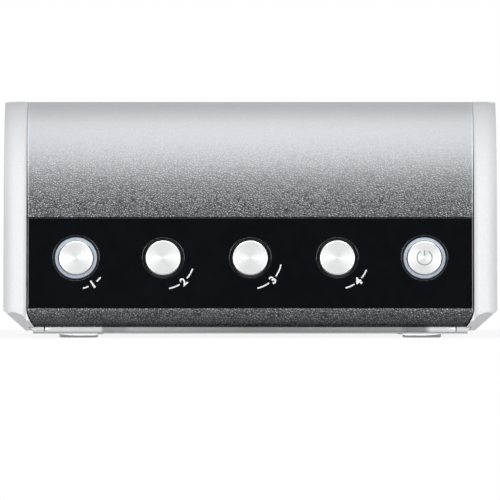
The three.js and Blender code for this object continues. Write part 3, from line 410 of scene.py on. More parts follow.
# Lamp, mirror and lens: a finned steel housing with a milky plate lights the film from
# above. A mirror on a black wedge turns the picture back through a lens that slides on two
# steel rods, driven by a screw, to the sensor on its bracket.
finish_nodes(plated_steel, "plated_steel", "lamp_housing", "lens_bed", "focus_motor", "sensor_bracket")
finish_nodes(dark_plastic, "dark_plastic", "mirror_bracket", "lens_carriage", "lens_barrel")
finish_nodes(bright_steel, "steel", "left_guide_rod", "right_guide_rod", "lead_screw")

milky_plate = mottled("milky_plate", (0.76, 0.77, 0.79), (0.86, 0.87, 0.89), 0.8 * mm,
                      (0.4, 0.55), 0.01 * mm, Subsurface_Weight=0.3)
finish_nodes(milky_plate, "light_guide", "lamp_diffuser")

silvered_glass = mottled("silvered_glass", (0.84, 0.85, 0.86), (0.9, 0.91, 0.92), 2 * mm,
                         (0.02, 0.05), 0.0005 * mm, Metallic=1.0)
finish_nodes(silvered_glass, "mirror_glass", "mirror")

coated_glass = mottled("coated_glass", (0.9, 0.88, 0.97), (0.96, 0.95, 1.0), 3 * mm,
                       (0.01, 0.03), 0.0005 * mm, Transmission_Weight=1.0, IOR=1.52)
finish_nodes(coated_glass, "clear_glass", "lens_glass")

# Rear panel: a flat black moulding with rows of slots for air and two holes for the sockets,
# clipped under the back edge of the cover.
finish_nodes(dark_plastic, "dark_plastic", "rear_panel")

# Front frame and button board: a black plate on a leg leans behind the panel. It guides the
# stems of the buttons and carries the board of switches on its pegs.
finish_nodes(dark_plastic, "dark_plastic", "front_frame")

# Button panel: a black strip with a mirror gloss, bonded to the frame behind it, that leans
# back between the cheeks. Its five round holes have turned edges and stand a little above the
# middle of the caps. The first four have a printed number between two short bars.
lean = radians(12)
band_radius = 6 * mm
wall = 2.5 * mm
proud = 0.6 * mm
seam = 0.3 * mm
front_y = -140.5 * mm
rear_y = 140.5 * mm
panel_foot_z = 10.7 * mm
panel_head_z = 43.5 * mm
half_width = 80.2 * mm
button_pitch = 31.4 * mm
button_height = 28.6 * mm
button_names = ("eject", "positive", "negative", "custom", "power")
lit_buttons = ("eject", "power")
panel_edge = 0.05 * mm
edge_highlight_reach = 0.25 * mm
hole_steps = 144
plain_hole = {"radius": 7.35 * mm, "mouth": 7.45 * mm, "depth": 0.5 * mm}
lit_hole = {"radius": 7.7 * mm, "mouth": 8.3 * mm, "depth": 0.9 * mm}
hole_lip = 0.2 * mm
hole_lift = 0.2 * mm
numeral_height = 3 * mm
numeral_boldness = 0.03
numeral_arc = 11.3 * mm
numeral_skin = 0.012 * mm
bar_width = 0.5 * mm
bar_start = 1.7 * mm
# Degrees from straight right between which each number and its two bars bend
numeral_sweeps = ((-77, -38), (-79, -20), (-77, -12), (-75, -22))

band_centre = np.array([front_y + band_radius, panel_foot_z - band_radius * sin(lean)])
outwards = np.array([-cos(lean), sin(lean)])
upwards = np.array([sin(lean), cos(lean)])
panel_origin = band_centre + (band_radius - proud) * outwards
panel_length = (panel_head_z - panel_foot_z) / cos(lean)
button_v = (button_height - panel_origin[1]) / cos(lean)
button_u = (np.arange(len(button_names)) - 2) * button_pitch


def on_panel(points):
    """Points of (across, up the slope, out of the face) as points of the scanner."""
    across, up, out = np.moveaxis(np.asarray(points, float), -1, 0)
    side_view = panel_origin + up[..., None] * upwards + out[..., None] * outwards
    return np.stack([across, side_view[..., 0], side_view[..., 1]], -1)


def drawn_in(stations, edge):
    """How far a round end has drawn in at each station. With d the way to the nearer end, it
    is the edge less the root of (the edge squared less the square of (edge less d)), and 0
    where d is longer than the edge."""
    from_end = np.minimum(stations - stations[0], stations[-1] - stations)
    return edge - np.sqrt(np.maximum(edge ** 2 - np.maximum(edge - from_end, 0) ** 2, 0))


def rounded_slab(thickness, stations, edge):
    """Rows of a plate carried along stations. A row is the outline of a rectangle with
    quarter circles of the edge's radius at its corners, and it draws in at both ends, so
    that those edges are round too. Gives each point's way inwards from its side, its side
    (-1 or 1) and its depth."""
    inset = drawn_in(stations, edge)[:, None]
    round_edge = np.linspace(0, pi / 2, 5)
    shift = edge - (edge - inset) * np.cos(round_edge)
    drop = edge - (edge - inset) * np.sin(round_edge)
    corner = [(shift[:, ::-1], 1, drop[:, ::-1]), (shift, 1, thickness - drop),
              (shift[:, ::-1], -1, thickness - drop[:, ::-1]), (shift, -1, drop)]
    inwards = np.concatenate([part[0] for part in corner], 1)
    side = np.concatenate([np.full_like(part[0], part[1]) for part in corner], 1)
    depth = np.concatenate([part[2] for part in corner], 1)
    return inwards, side, depth


def with_ends(rows, columns):
    """Quads of rows of closed outlines, and a face over the first and the last of them."""
    lids = [tuple(range(start, start + columns)) for start in (0, (rows - 1) * columns)]
    return grid_faces(rows, columns, close_columns=True) + lids


def end_steps(length, edge, steps):
    """Places from 0 to a length: close together over each round end, even between them."""
    fine = edge * (1 - np.cos(np.linspace(0, pi / 2, 5)))
    return np.concatenate([fine, np.linspace(edge, length - edge, steps + 1)[1:-1], (length - fine)[::-1]])


def cut_with(piece, cutters, operation="DIFFERENCE"):
    """The piece with every cutter taken away from it, or with only what it shares with them."""
    for cutter in cutters:
        blade = piece.modifiers.new(cutter.name, "BOOLEAN")
        blade.operation, blade.solver, blade.object = operation, "EXACT", cutter
    bpy.context.view_layer.update()
    shape = bpy.data.meshes.new_from_object(piece.evaluated_get(bpy.context.evaluated_depsgraph_get()))
    piece.modifiers.clear()
    shape.set_sharp_from_angle(angle=sharp_angle)
    piece.data = shape
    for cutter in cutters:
        bpy.data.objects.remove(cutter)


def soften(piece, width=0, segments=3, angle=radians(30)):
    """Flat faces that look flat and, where a width is given, a small round on every edge
    sharper than the angle."""
    if width:
        bevel = piece.modifiers.new("soft_edges", "BEVEL")
        bevel.width, bevel.segments, bevel.angle_limit = width, segments, angle
        bevel.limit_method = "ANGLE"
        bevel.miter_outer = "MITER_ARC"
    flats = piece.modifiers.new("flat_faces", "WEIGHTED_NORMAL")
    flats.keep_sharp = True


# Painted edge highlight: a mask that is 1 within a short reach of both sides of the case, else 0
painted_edge_highlight, given, wanted = shader_group("painted_edge_highlight", {"Reach": 0.2 * mm}, ["Mask"])
across = add_node(painted_edge_highlight, "ShaderNodeSeparateXYZ", {0: object_place(painted_edge_highlight)}).outputs["X"]
to_side = worked(painted_edge_highlight, "SUBTRACT", half_width, worked(painted_edge_highlight, "ABSOLUTE", across))
painted_edge_highlight.links.new(worked(painted_edge_highlight, "LESS_THAN", to_side, given["Reach"]), wanted["Mask"])


def edge_with(material, colour, reach, share=1.0):
    """Painted highlight: a share of a pale colour over the material's own within a reach of both sides, for
    the light that the rounded side edges catch.
    """
    tree = material.node_tree
    base = tree.nodes["Principled BSDF"].inputs["Base Color"]
    mask = worked(tree, "MULTIPLY", use_group(tree, painted_edge_highlight, Reach=reach)["Mask"], share)
    sockets = {"Factor": mask, "A": base.links[0].from_socket, "B": (*colour, 1)}
    mixed = add_node(tree, "ShaderNodeMix", sockets, data_type="RGBA")
    tree.links.new(mixed.outputs["Result"], base)


gloss_black = mottled("gloss_black", (0.0045, 0.0055, 0.007), (0.0058, 0.0068, 0.0085), 4 * mm,
                      (0.04, 0.07), 0.0006 * mm, Coat_Weight=0.3, Coat_Roughness=0.03)
# Painted highlight along both side edges of the panel
edge_with(gloss_black, (0.3, 0.28, 0.32), edge_highlight_reach)

places = end_steps(panel_length - 2 * seam, panel_edge, 8) + seam
inwards, side, depth = rounded_slab(wall, places, panel_edge)
flat = np.stack([side * (half_width - inwards), np.repeat(places[:, None], side.shape[1], 1), -depth], -1)
panel = build("black_button_panel", on_panel(flat), with_ends(*side.shape), gloss_black)
drill_points, drill_faces = [], []
for name, across in zip(button_names, button_u):
    hole = lit_hole if name in lit_buttons else plain_hole
    lip = quarter(hole_lip, (hole["mouth"] + hole_lip, -hole_lip), pi / 2)[::-1]
    profile = [(0, -2 * wall), (hole["radius"], -2 * wall), (hole["radius"], -hole["depth"]), *lip,
               (hole["mouth"] + hole_lip, wall), (0, wall)]
    points, faces = turned(profile, hole_steps)
    start = sum(map(len, drill_points))
    drill_points.append(on_panel(points + (across, button_v + hole_lift, 0)).reshape(-1, 3))
    drill_faces += (np.array(faces) + start).tolist()
cut_with(panel, [build("drills", np.concatenate(drill_points), drill_faces, gloss_black)])
soften(panel)
stand_for(panel, "case", "gloss_black", "button_panel")

white_print = mottled("white_print", (0.78, 0.78, 0.78), (0.88, 0.88, 0.88), 0.2 * mm,
                      (0.45, 0.6), 0.002 * mm)


def flat_text(letters, height):
    """The outline of those letters as loose flat faces, that many metres high, centred on
    the origin: corner points and faces."""
    drawing = bpy.data.curves.new("letters", "FONT")
    drawing.body = letters
    drawing.offset = numeral_boldness
    holder = bpy.data.objects.new("letters", drawing)
    scene.collection.objects.link(holder)
    bpy.context.view_layer.update()
    shape = bpy.data.meshes.new_from_object(holder.evaluated_get(bpy.context.evaluated_depsgraph_get()))
    points = np.empty(len(shape.vertices) * 3)
    shape.vertices.foreach_get("co", points)
    points = points.reshape(-1, 3)
    faces = [tuple(face.vertices) for face in shape.polygons]
    bpy.data.objects.remove(holder)
    low, high = points.min(0), points.max(0)
    return (points - (low + high) / 2) * height / (high[1] - low[1]), faces


def bent_bar(start, end, steps=12):
    """A flat bar from one place to another along X, in steps, so that it can bend."""
    x = np.linspace(start, end, steps + 1)
    rows = np.stack([np.stack([x, np.full_like(x, y), 0 * x], 1) for y in (-bar_width / 2, bar_width / 2)])
    return rows.reshape(-1, 3), grid_faces(2, steps + 1)


for number, (name, across, sweep) in enumerate(zip(button_names, button_u, numeral_sweeps), 1):
    points, faces = flat_text(str(number), numeral_height)
    reach = radians(sweep[1] - sweep[0]) * numeral_arc / 2
    for start, end in ((-reach, -bar_start), (bar_start, reach)):
        bar_points, bar_faces = bent_bar(start, end)
        faces = faces + (np.array(bar_faces) + len(points)).tolist()
        points = np.concatenate([points, bar_points])
    bend = radians(sum(sweep) / 2) + points[:, 0] / numeral_arc
    out = numeral_arc - points[:, 1]
    printed = np.stack([across + out * np.cos(bend), button_v + out * np.sin(bend),
                        np.full(len(points), numeral_skin)], 1)
    numeral = build(f"{name}_numeral", on_panel(printed), faces, white_print)
    stand_for(numeral, "case", "gloss_black")

# Push buttons: five caps turned from aluminium, each on a stem with a collar that stops it
# behind the frame. Their faces keep the fine rings of the lathe. The two in lit holes are a
# little smaller, and the last is engraved with the plain sign for standby.
plain_cap, lit_cap = 6.28 * mm, 6.1 * mm
cap_steps = 128
face_rings = 24
on_axis = 0.01 * mm
cap = {"proud": 1.2 * mm, "skirt": 1.4 * mm, "edge": 0.35 * mm, "stem": 3 * mm,
       "collar": 4 * mm, "collar_top": -5.1 * mm, "collar_height": 1.3 * mm, "stem_end": -10.2 * mm}
ring_pitch = 0.12 * mm
sign = {"radius": 2.7 * mm, "line": 0.4 * mm, "depth": 0.15 * mm, "gap": radians(32),
        "bar": (0.77 * mm, 2.75 * mm), "reach": 5 * mm}

spun_aluminium, tree, shader = new_material("spun_aluminium", Metallic=0.4, Anisotropic=0.6,
                                            Anisotropic_Rotation=0.25)
spun_uv = add_node(tree, "ShaderNodeUVMap", uv_map="turned").outputs["UV"]
tangent = add_node(tree, "ShaderNodeTangent", direction_type="UV_MAP", uv_map="turned")
tree.links.new(tangent.outputs[0], shader.inputs["Tangent"])
uv_parts = add_node(tree, "ShaderNodeSeparateXYZ", {0: spun_uv}).outputs
ring_place = worked(tree, "MULTIPLY", uv_parts["Y"], 1 / ring_pitch)
ring_noise = add_node(tree, "ShaderNodeTexNoise", {"W": ring_place, "Scale": 1.0, "Detail": 3.0},
                      noise_dimensions="1D").outputs["Fac"]
tree.links.new(blend_colours(tree, ring_noise, (0.9, 0.905, 0.91), (0.96, 0.965, 0.97)),
               shader.inputs["Base Color"])
vary(tree, shader.inputs["Roughness"], ring_noise, 0.24, 0.36)
emboss(tree, shader, ring_noise, 0.003 * mm)
sign_paint = mottled("sign_paint", (0.26, 0.26, 0.27), (0.34, 0.34, 0.35), 0.2 * mm, (0.5, 0.6), 0.002 * mm)


def turned_uv(piece, across):
    """UV map of a turned piece on the panel: how far round its axis, and metres from it.
    A face over the seam or on the axis takes the turn of its own middle."""
    mesh = piece.data
    corner = np.empty(len(mesh.loops), int)
    mesh.loops.foreach_get("vertex_index", corner)
    points = np.empty(len(mesh.vertices) * 3)
    mesh.vertices.foreach_get("co", points)
    points = points.reshape(-1, 3)
    side = points[:, 0] - across
    up = (points[:, 1:] - panel_origin) @ upwards - button_v
    counts = np.empty(len(mesh.polygons), int)
    mesh.polygons.foreach_get("loop_total", counts)
    face = np.repeat(np.arange(len(counts)), counts)
    middle = np.stack([np.bincount(face, side[corner]) / counts, np.bincount(face, up[corner]) / counts])
    middle_turn = np.arctan2(middle[1], middle[0])[face] / (2 * pi)
    radius = np.hypot(side, up)[corner]
    turn = np.arctan2(up, side)[corner] / (2 * pi)
    turn = np.where(radius < on_axis, middle_turn, turn)
    turn = turn - np.round(turn - middle_turn)
    layer = mesh.uv_layers.new(name="turned")
    layer.data.foreach_set("uv", np.stack([turn, radius], 1).ravel())


def ribbon_on_cap(path, width):
    """Cutter along a flat path in the panel's frame: a strip of that width, from the depth of
    the sign to above the cap. Points of the path move half a width along their normals."""
    along = np.gradient(path, axis=0)
    along = along / np.linalg.norm(along, axis=1)[:, None]
    across = np.stack([-along[:, 1], along[:, 0]], 1) * width / 2
    rows = []
    for shift, height in ((-1, -sign["depth"]), (1, -sign["depth"]), (1, sign["depth"]), (-1, sign["depth"])):
        flat = path + shift * across
        rows.append(np.column_stack([flat, np.full(len(path), cap["proud"] + height)]))
    return np.stack(rows, 1)


for name, across in zip(button_names, button_u):
    cap_radius = lit_cap if name in lit_buttons else plain_cap
    face_radii = np.linspace(cap_radius - cap["edge"], 0, face_rings)
    profile = np.concatenate([
        [(0, cap["stem_end"]), (cap["stem"], cap["stem_end"]),
         (cap["stem"], cap["collar_top"] - cap["collar_height"]),
         (cap["collar"], cap["collar_top"] - cap["collar_height"]),
         (cap["collar"], cap["collar_top"]), (cap["stem"], cap["collar_top"]),
         (cap["stem"], -cap["skirt"]), (cap_radius, -cap["skirt"])],
        quarter(cap["edge"], (cap_radius - cap["edge"], cap["proud"] - cap["edge"]), 0),
        np.stack([face_radii, np.full(face_rings, cap["proud"])], 1)[1:],
    ])
    points, faces = turned(profile, cap_steps)
    button = build(f"{name}_cap", on_panel(points + (across, button_v, 0)), faces, spun_aluminium)
    if name == "power":
        middle = np.array([across, button_v])
        turn = np.linspace(pi / 2 + sign["gap"], 5 * pi / 2 - sign["gap"], 80)
        ring = middle + sign["radius"] * np.stack([np.cos(turn), np.sin(turn)], 1)
        upright = middle + np.stack([np.zeros(8), np.linspace(*sign["bar"], 8)], 1)
        cutters = []
        for label, path in (("ring", ring), ("bar", upright)):
            rows = ribbon_on_cap(path, sign["line"])
            cutters.append(build(f"sign_{label}", on_panel(rows), with_ends(len(path), 4), sign_paint))
        button.data.materials.append(sign_paint)
        cut_with(button, cutters)
        centres = np.empty(len(button.data.polygons) * 3)
        button.data.polygons.foreach_get("center", centres)
        centres = centres.reshape(-1, 3)
        out = (centres[:, 1:] - panel_origin) @ outwards
        up = (centres[:, 1:] - panel_origin) @ upwards - button_v
        near = np.hypot(centres[:, 0] - across, up) < sign["reach"]
        engraved = near & (out < cap["proud"] - on_axis) & (out > -cap["skirt"])
        button.data.polygons.foreach_set("material_index", engraved.astype(int))
    turned_uv(button, across)
    stand_for(button, f"{name}_key", "spun_aluminium", f"{name}_button")

# Light rings: frosted clear rings round the first and the last cap, pressed into the panel
# from behind. Unlit, they look pale and a little violet.
ring_size = {"inner": 6.4 * mm, "outer": 7.55 * mm, "sunk": 0.2 * mm, "edge": 0.12 * mm}
frosted_ring = mottled("frosted_ring", (0.38, 0.39, 0.46), (0.52, 0.53, 0.61), 0.3 * mm,
                       (0.45, 0.6), 0.01 * mm, Subsurface_Weight=0.2)
ring_top = -ring_size["sunk"] - ring_size["edge"]
ring_profile = np.concatenate([
    [(ring_size["inner"], -wall), (ring_size["outer"], -wall)],
    quarter(ring_size["edge"], (ring_size["outer"] - ring_size["edge"], ring_top), 0),
    quarter(ring_size["edge"], (ring_size["inner"] + ring_size["edge"], ring_top), pi / 2),
])
ring_faces = grid_faces(len(ring_profile), hole_steps, close_rows=True, close_columns=True)
for name in lit_buttons:
    across = button_u[button_names.index(name)]
    points = on_panel(turned(ring_profile, hole_steps)[0] + (across, button_v + hole_lift, 0))
    ring = build(f"{name}_frosted_ring", points, ring_faces, frosted_ring)
    stand_for(ring, "case", "light_guide", f"{name}_light_ring")

# Front band: the case curves under below the buttons. It is a bent strip of the same grained
# skin as the cover, glued on a moulding, and its lower corners draw in to meet the cheeks.
hook_z = 3.9 * mm
foot_run = 2.8 * mm
band_flat = radians(-50)
skin_edge = 0.14 * mm
grain_cell = 0.88 * mm
crease = 0.28
grain_depth = 0.1 * mm
# Strength of the grain and of its painted light and shade: the most, and shares of that at
# heights in millimetres. Up to a little above the button panel the creases are painted dark;
# up the crown the grain fades into an even, lighter tone on the roof, painted light.
grain_and_shade_strength = 1.6
grain_and_shade_levels = ((30, 0.7), (41, 1.0), (44, 0.92), (48.6, 0.62), (54, 0.34), (59.4, 0.24), (64.8, 0.16),
                (71, 0.06))
patch_share = 0.25
# Painted light: the even, lighter tone that the skin turns to on the roof
painted_roof_light = 0.79
roof_rough = 0.5

# Grain: pebbles between creases, from cells that slow noise bends. It gives their height, a
# mask that is 0 in the creases and 1 on the pebbles, and slow patches.
leather_grain, given, wanted = shader_group("leather_grain", {"Cell": grain_cell},
                                            ["Height", "Valley", "Patch"])
per_metre = worked(leather_grain, "DIVIDE", 1.0, given["Cell"])
cells = add_node(leather_grain, "ShaderNodeVectorMath", {0: object_place(leather_grain), "Scale": per_metre},
                 operation="SCALE").outputs["Vector"]
wander = add_node(leather_grain, "ShaderNodeVectorMath",
                  {0: noise(leather_grain, cells, 0.7, 1.0, "Color"), 1: (0.5, 0.5, 0.5)},
                  operation="SUBTRACT")
bent = add_node(leather_grain, "ShaderNodeVectorMath",
                {0: wander.outputs["Vector"], 1: (0.9, 0.9, 0.9), 2: cells}, operation="MULTIPLY_ADD")
edges = add_node(leather_grain, "ShaderNodeTexVoronoi", {"Vector": bent.outputs["Vector"], "Scale": 1.0},
                 feature="DISTANCE_TO_EDGE")
pebble = ranged(leather_grain, edges.outputs["Distance"], 0, crease, shape="SMOOTHSTEP")
height = worked(leather_grain, "MULTIPLY_ADD", noise(leather_grain, cells, 2.2, 2.0), 0.5, pebble)
leather_grain.links.new(height, wanted["Height"])
leather_grain.links.new(pebble, wanted["Valley"])
leather_grain.links.new(noise(leather_grain, cells, 0.16, 2.0), wanted["Patch"])


def levels_along(tree, axis, stops, tint=(1, 1, 1)):
    """A tone that changes along an axis of the object, straight from stop to stop of
    (millimetres, level), and stays as it is beyond the ends."""
    along = add_node(tree, "ShaderNodeSeparateXYZ", {0: object_place(tree)}).outputs[axis]
    start, end = stops[0][0], stops[-1][0]
    ramp = add_node(tree, "ShaderNodeValToRGB", {"Fac": ranged(tree, along, start * mm, end * mm)})
    elements = ramp.color_ramp.elements
    for where, _ in stops[1:-1]:
        elements.new((where - start) / (end - start))
    for element, (_, level) in zip(elements, stops):
        element.color = (*(level * part for part in tint), 1)
    return ramp.outputs["Color"]


def between(tree, mask, low, high):
    """A value between two, by a mask."""
    return add_node(tree, "ShaderNodeMix", {"Factor": mask, "A": low, "B": high}).outputs["Result"]


grained_skin, tree, shader = new_material("grained_skin", Metallic=0.75, Specular_IOR_Level=0.5)
grain = use_group(tree, leather_grain, Cell=grain_cell)
grain_and_shade_share = worked(tree, "MULTIPLY", levels_along(tree, "Z", grain_and_shade_levels), grain_and_shade_strength)
grain_and_shade_mask = worked(tree, "MULTIPLY_ADD", grain["Patch"], patch_share, grain["Valley"])
# Painted light and shade by height: full crease shade up to a little above the button panel, fading into an
# even, lighter tone on the roof
grain_and_shade_mask = between(tree, grain_and_shade_share, painted_roof_light, grain_and_shade_mask)
# Colour of the skin: the creases are painted darker, as their shade, and the pebbles lighter, with slow
# patches of tone
tree.links.new(blend_colours(tree, grain_and_shade_mask, (0.015, 0.0165, 0.018), (0.121, 0.1275, 0.134)),
               shader.inputs["Base Color"])
gloss = between(tree, grain_and_shade_share, roof_rough, ranged(tree, grain["Valley"], 0, 1, 0.4, 0.26))
tree.links.new(gloss, shader.inputs["Roughness"])
emboss(tree, shader, worked(tree, "MULTIPLY", grain["Height"], grain_and_shade_share), grain_depth)
# Painted highlight along both side edges of the skin, as strong as the grain
edge_with(grained_skin, (0.3, 0.29, 0.31), edge_highlight_reach, grain_and_shade_share)


def arc_slopes(start, end, radius, step=0.7 * mm):
    """Slopes of the outward normal along a round stretch, evenly spaced."""
    return np.linspace(start, end, max(int(abs(end - start) * radius / step), 6) + 1)


def half_width_at(z):
    """Half width at a height: the corner draws in with the square of the way down to its hook."""
    share = np.clip((panel_foot_z - z) / (panel_foot_z - hook_z), 0, 1)
    return half_width - foot_run * share ** 2


band_outside = band_radius - proud
flat_length = (band_centre[1] + band_outside * sin(band_flat) - hook_z) / cos(band_flat)
lengths = end_steps(flat_length + (lean - band_flat) * band_outside, skin_edge, 24)
slopes = band_flat + np.maximum(lengths - flat_length, 0) / band_outside
below = np.maximum(flat_length - lengths, 0)[:, None]
inwards, side, depth = rounded_slab(wall, lengths, skin_edge)
radius = band_outside - depth
y = band_centre[0] - radius * np.cos(slopes)[:, None] - below * sin(band_flat)
z = band_centre[1] + radius * np.sin(slopes)[:, None] - below * cos(band_flat)
band_points = np.stack([side * (half_width_at(z) - inwards), y, z], -1)
band = build("grained_front_band", band_points, with_ends(*side.shape), grained_skin)
stand_for(band, "case", "grained_cover", "front_band")

# Cover: one bent shell over the works, from the top of the button panel over the crown and
# the flat roof to the rear panel. It wears the same grained skin, with a painted highlight
# along its side edges, and it widens up the crown until its seams with the cheeks close.
crown_radius = 53.0196 * mm
rear_radius = 14 * mm
roof_z = 85.5 * mm
roof_proud = 0.08 * mm
seam_closes = (45 * mm, 70 * mm)
seam_closing = 0.45 * mm
crown_centre = band_centre + panel_length * upwards + (band_radius - crown_radius) * outwards
rear_centre = np.array([rear_y - rear_radius, roof_z - rear_radius])


def case_path(inset, roof_inset):
    """Points and outward normals of the crown, the roof and the rear roll, drawn in by an
    inset that runs evenly over the crown's slopes to the one for the roof."""
    crown = arc_slopes(lean, pi / 2, crown_radius)
    rear = arc_slopes(pi / 2, pi, rear_radius)
    slopes = np.concatenate([crown, rear])
    centres = np.repeat([crown_centre, rear_centre], [len(crown), len(rear)], 0)
    radii = np.concatenate([crown_radius - np.linspace(inset, roof_inset, len(crown)),
                            np.full(len(rear), rear_radius - roof_inset)])
    normals = np.stack([-np.cos(slopes), np.sin(slopes)], 1)
    return centres + radii[:, None] * normals, normals


places, normals = case_path(proud, roof_proud)
lengths = np.concatenate([[0], np.cumsum(np.linalg.norm(np.diff(places, axis=0), axis=1))])
inner_lengths = lengths[(lengths > skin_edge) & (lengths < lengths[-1] - skin_edge)]
stations = np.unique(np.concatenate([end_steps(lengths[-1], skin_edge, 2), inner_lengths]))
y = np.interp(stations, lengths, places[:, 0])
z = np.interp(stations, lengths, places[:, 1])
normals = np.stack([np.interp(stations, lengths, normals[:, way]) for way in (0, 1)], 1)
inwards, side, depth = rounded_slab(wall, stations, skin_edge)
widened = seam_closing * np.clip((z - seam_closes[0]) / (seam_closes[1] - seam_closes[0]), 0, 1)
shell = np.stack([side * (half_width + widened[:, None] - inwards), y[:, None] - depth * normals[:, :1],
                  z[:, None] - depth * normals[:, 1:]], -1)
cover = build("grained_top_cover", shell, with_ends(*side.shape), grained_skin)
stand_for(cover, "case", "grained_cover", "cover")

# Cheeks: two thick side plates moulded in plastic and painted silver. They close the cover at
# both sides, with rolled edges, a chamfered lower corner, a recess for the film door, a slot
# behind it and hollows inside.
outer_x = 89 * mm
inner_x = 80.7 * mm
base_z = 1.5 * mm
trim_bottom_z = 2.4 * mm
pan_side = 78.6 * mm
trim_side = 79.7 * mm
roll_width = 4.5 * mm
roll_depth = 2.9 * mm
roof_share = 0.12
inner_roll = 1.6 * mm
inner_depth = 1.1 * mm
chamfer_run = 9.4 * mm
chamfer_rise = 8.3 * mm
# Fold of the chamfer: two places (across, up) in front, and one on its face (across, back, up)
fold = [(80.6 * mm, 7.6 * mm), (89 * mm, 10.7 * mm)]
fold_foot = (80.6 * mm, 5.2 * mm, 1.5 * mm)
film_y = -80 * mm
film_z = 57.5 * mm
door_y = (-108 * mm, -52 * mm)
door_z = (43.5 * mm, 71.5 * mm)
door_corner = 3 * mm
recess_x = 85.7 * mm
scoop = 7 * mm
pin_hole = 0.75 * mm
pin_y = (-111 * mm, -49 * mm)
hinge = (87.5 * mm, 45.3 * mm)
slot_half = (20 * mm, 3 * mm)
pocket_x = 86.4 * mm
pocket_z = (12.4 * mm, 79.5 * mm)
pocket_y = ((-44 * mm, 43.5 * mm), (46.5 * mm, 134 * mm))
cheek_soft = 0.3 * mm
facet_reach = 20 * mm
facet_thick = 10 * mm
past = 4 * mm


def case_side(inset, roof_inset):
    """Whole side outline, up the front, over the crown and down the rear, drawn in by an inset
    in front and by another at the roof."""
    crown, _ = case_path(inset, roof_inset)
    slopes = arc_slopes(0, lean, band_radius, 0.3 * mm)
    toe = band_centre + (band_radius - inset) * np.stack([-np.cos(slopes), np.sin(slopes)], 1)
    ends = [[toe[0, 0], base_z + inset]], [[crown[-1, 0], base_z + inset]]
    return np.concatenate([ends[0], toe, crown, ends[1]])


def pushed(outline, axis, span):
    """An outline pushed along an axis (0 to 2) from one place to another: points and faces.
    The outline's numbers are the other two axes, in order."""
    rows = np.stack([np.insert(np.asarray(outline, float), axis, place, 1) for place in span])
    return rows, with_ends(len(span), rows.shape[1])


def box_outline(across, up):
    """Corners of an upright rectangle, from its two ends each way."""
    return [(across[0], up[0]), (across[1], up[0]), (across[1], up[1]), (across[0], up[1])]


def arched_outline(y, z, corner, steps=8):
    """A rectangle with round upper corners."""
    right = quarter(corner, (y[1] - corner, z[1] - corner), 0, steps)
    left = quarter(corner, (y[0] + corner, z[1] - corner), pi / 2, steps)
    return np.concatenate([[(y[1], z[0])], right, left, [(y[0], z[0])]])


def disc_outline(centre, radius, steps):
    """Points round a circle."""
    turn = np.linspace(0, 2 * pi, steps, endpoint=False)
    return np.array(centre) + radius * np.stack([np.cos(turn), np.sin(turn)], 1)


silver_paint = mottled("silver_paint", (0.82, 0.825, 0.85), (0.87, 0.875, 0.895), 0.22 * mm,
                       (0.4, 0.5), 0.004 * mm, Specular_IOR_Level=0.02)


def cutter(name, outline, axis, span):
    """A cutter for a cheek or a door: an outline pushed along an axis."""
    return build(name, *pushed(outline, axis, span), silver_paint)


for side_sign, word in ((-1, "left"), (1, "right")):
    inner = inner_roll * np.linspace(0, 1, 5)
    outer = roll_width * np.linspace(1, 0, 9)
    stations = [inner_x - foot_run - past, *(inner_x + inner), *(outer_x - outer)]
    shares = np.linspace(0, 1, 9) ** 2
    insets = [inner_depth, *(inner_depth * shares[::-2]), *(roll_depth * shares)]
    skin = np.stack([np.insert(case_side(inset, inset * roof_share), 0, side_sign * x, 1)
                     for x, inset in zip(stations, insets)])
    cheek = build(f"silver_{word}_cheek", skin, with_ends(*skin.shape[:2]), silver_paint)
    share = np.linspace(0, 1, 13)
    corner = np.stack([inner_x - foot_run * share ** 2, panel_foot_z - (panel_foot_z - hook_z) * share], 1)
    chamfer_top = base_z + chamfer_rise
    outline = np.concatenate([
        [(inner_x, roof_z + past)], corner, [(trim_side, hook_z), (pan_side, trim_bottom_z)],
        [(pan_side, base_z), (outer_x - chamfer_run, base_z), (outer_x, chamfer_top)],
        [(outer_x + past, chamfer_top), (outer_x + past, roof_z + past)],
    ]) * (side_sign, 1)
    cut_with(cheek, [cutter("mould", outline, 1, (front_y - past, rear_y + past))], "INTERSECT")
    through = (side_sign * (inner_x - past), side_sign * (outer_x + past))
    door_cut = (side_sign * recess_x, side_sign * (outer_x + past))
    pocket_cut = (side_sign * (inner_x - past), side_sign * pocket_x)
    slot = box_outline((film_y - slot_half[0], film_y + slot_half[0]),
                       (film_z - slot_half[1], film_z + slot_half[1]))
    pin_centre = (side_sign * hinge[0], hinge[1])
    cutters = [
        cutter("recess", arched_outline(door_y, door_z, door_corner), 0, door_cut),
        cutter("scoop", disc_outline((film_y, door_z[1]), scoop, 64), 0, door_cut),
        cutter("pin_bore", disc_outline(pin_centre, pin_hole, 24), 1, pin_y),
        cutter("film_slot", slot, 0, through),
        *(cutter("hollow", box_outline(span, pocket_z), 0, pocket_cut) for span in pocket_y),
    ]
    # Face of the chamfer: a block outside the case with one side on the fold and the face
    first, second = (np.array([side_sign * x, front_y, z]) for x, z in fold)
    foot_point = np.array([side_sign * fold_foot[0], front_y + fold_foot[1], fold_foot[2]])
    along = (second - first) / np.linalg.norm(second - first)
    down = foot_point - first
    down = down - along * (down @ along)
    down = down / np.linalg.norm(down)
    out = np.cross(along, down)
    out = out * np.sign(-out[1])
    near = np.stack([first + along * a + down * b
                     for a, b in box_outline((-facet_reach, facet_reach), (0, facet_reach))])
    cutters.append(build("facet", np.stack([near, near + facet_thick * out]), with_ends(2, 4), silver_paint))
    cut_with(cheek, cutters)
    soften(cheek, cheek_soft)
    stand_for(cheek, "case", "silver_plastic", f"{word}_cheek")

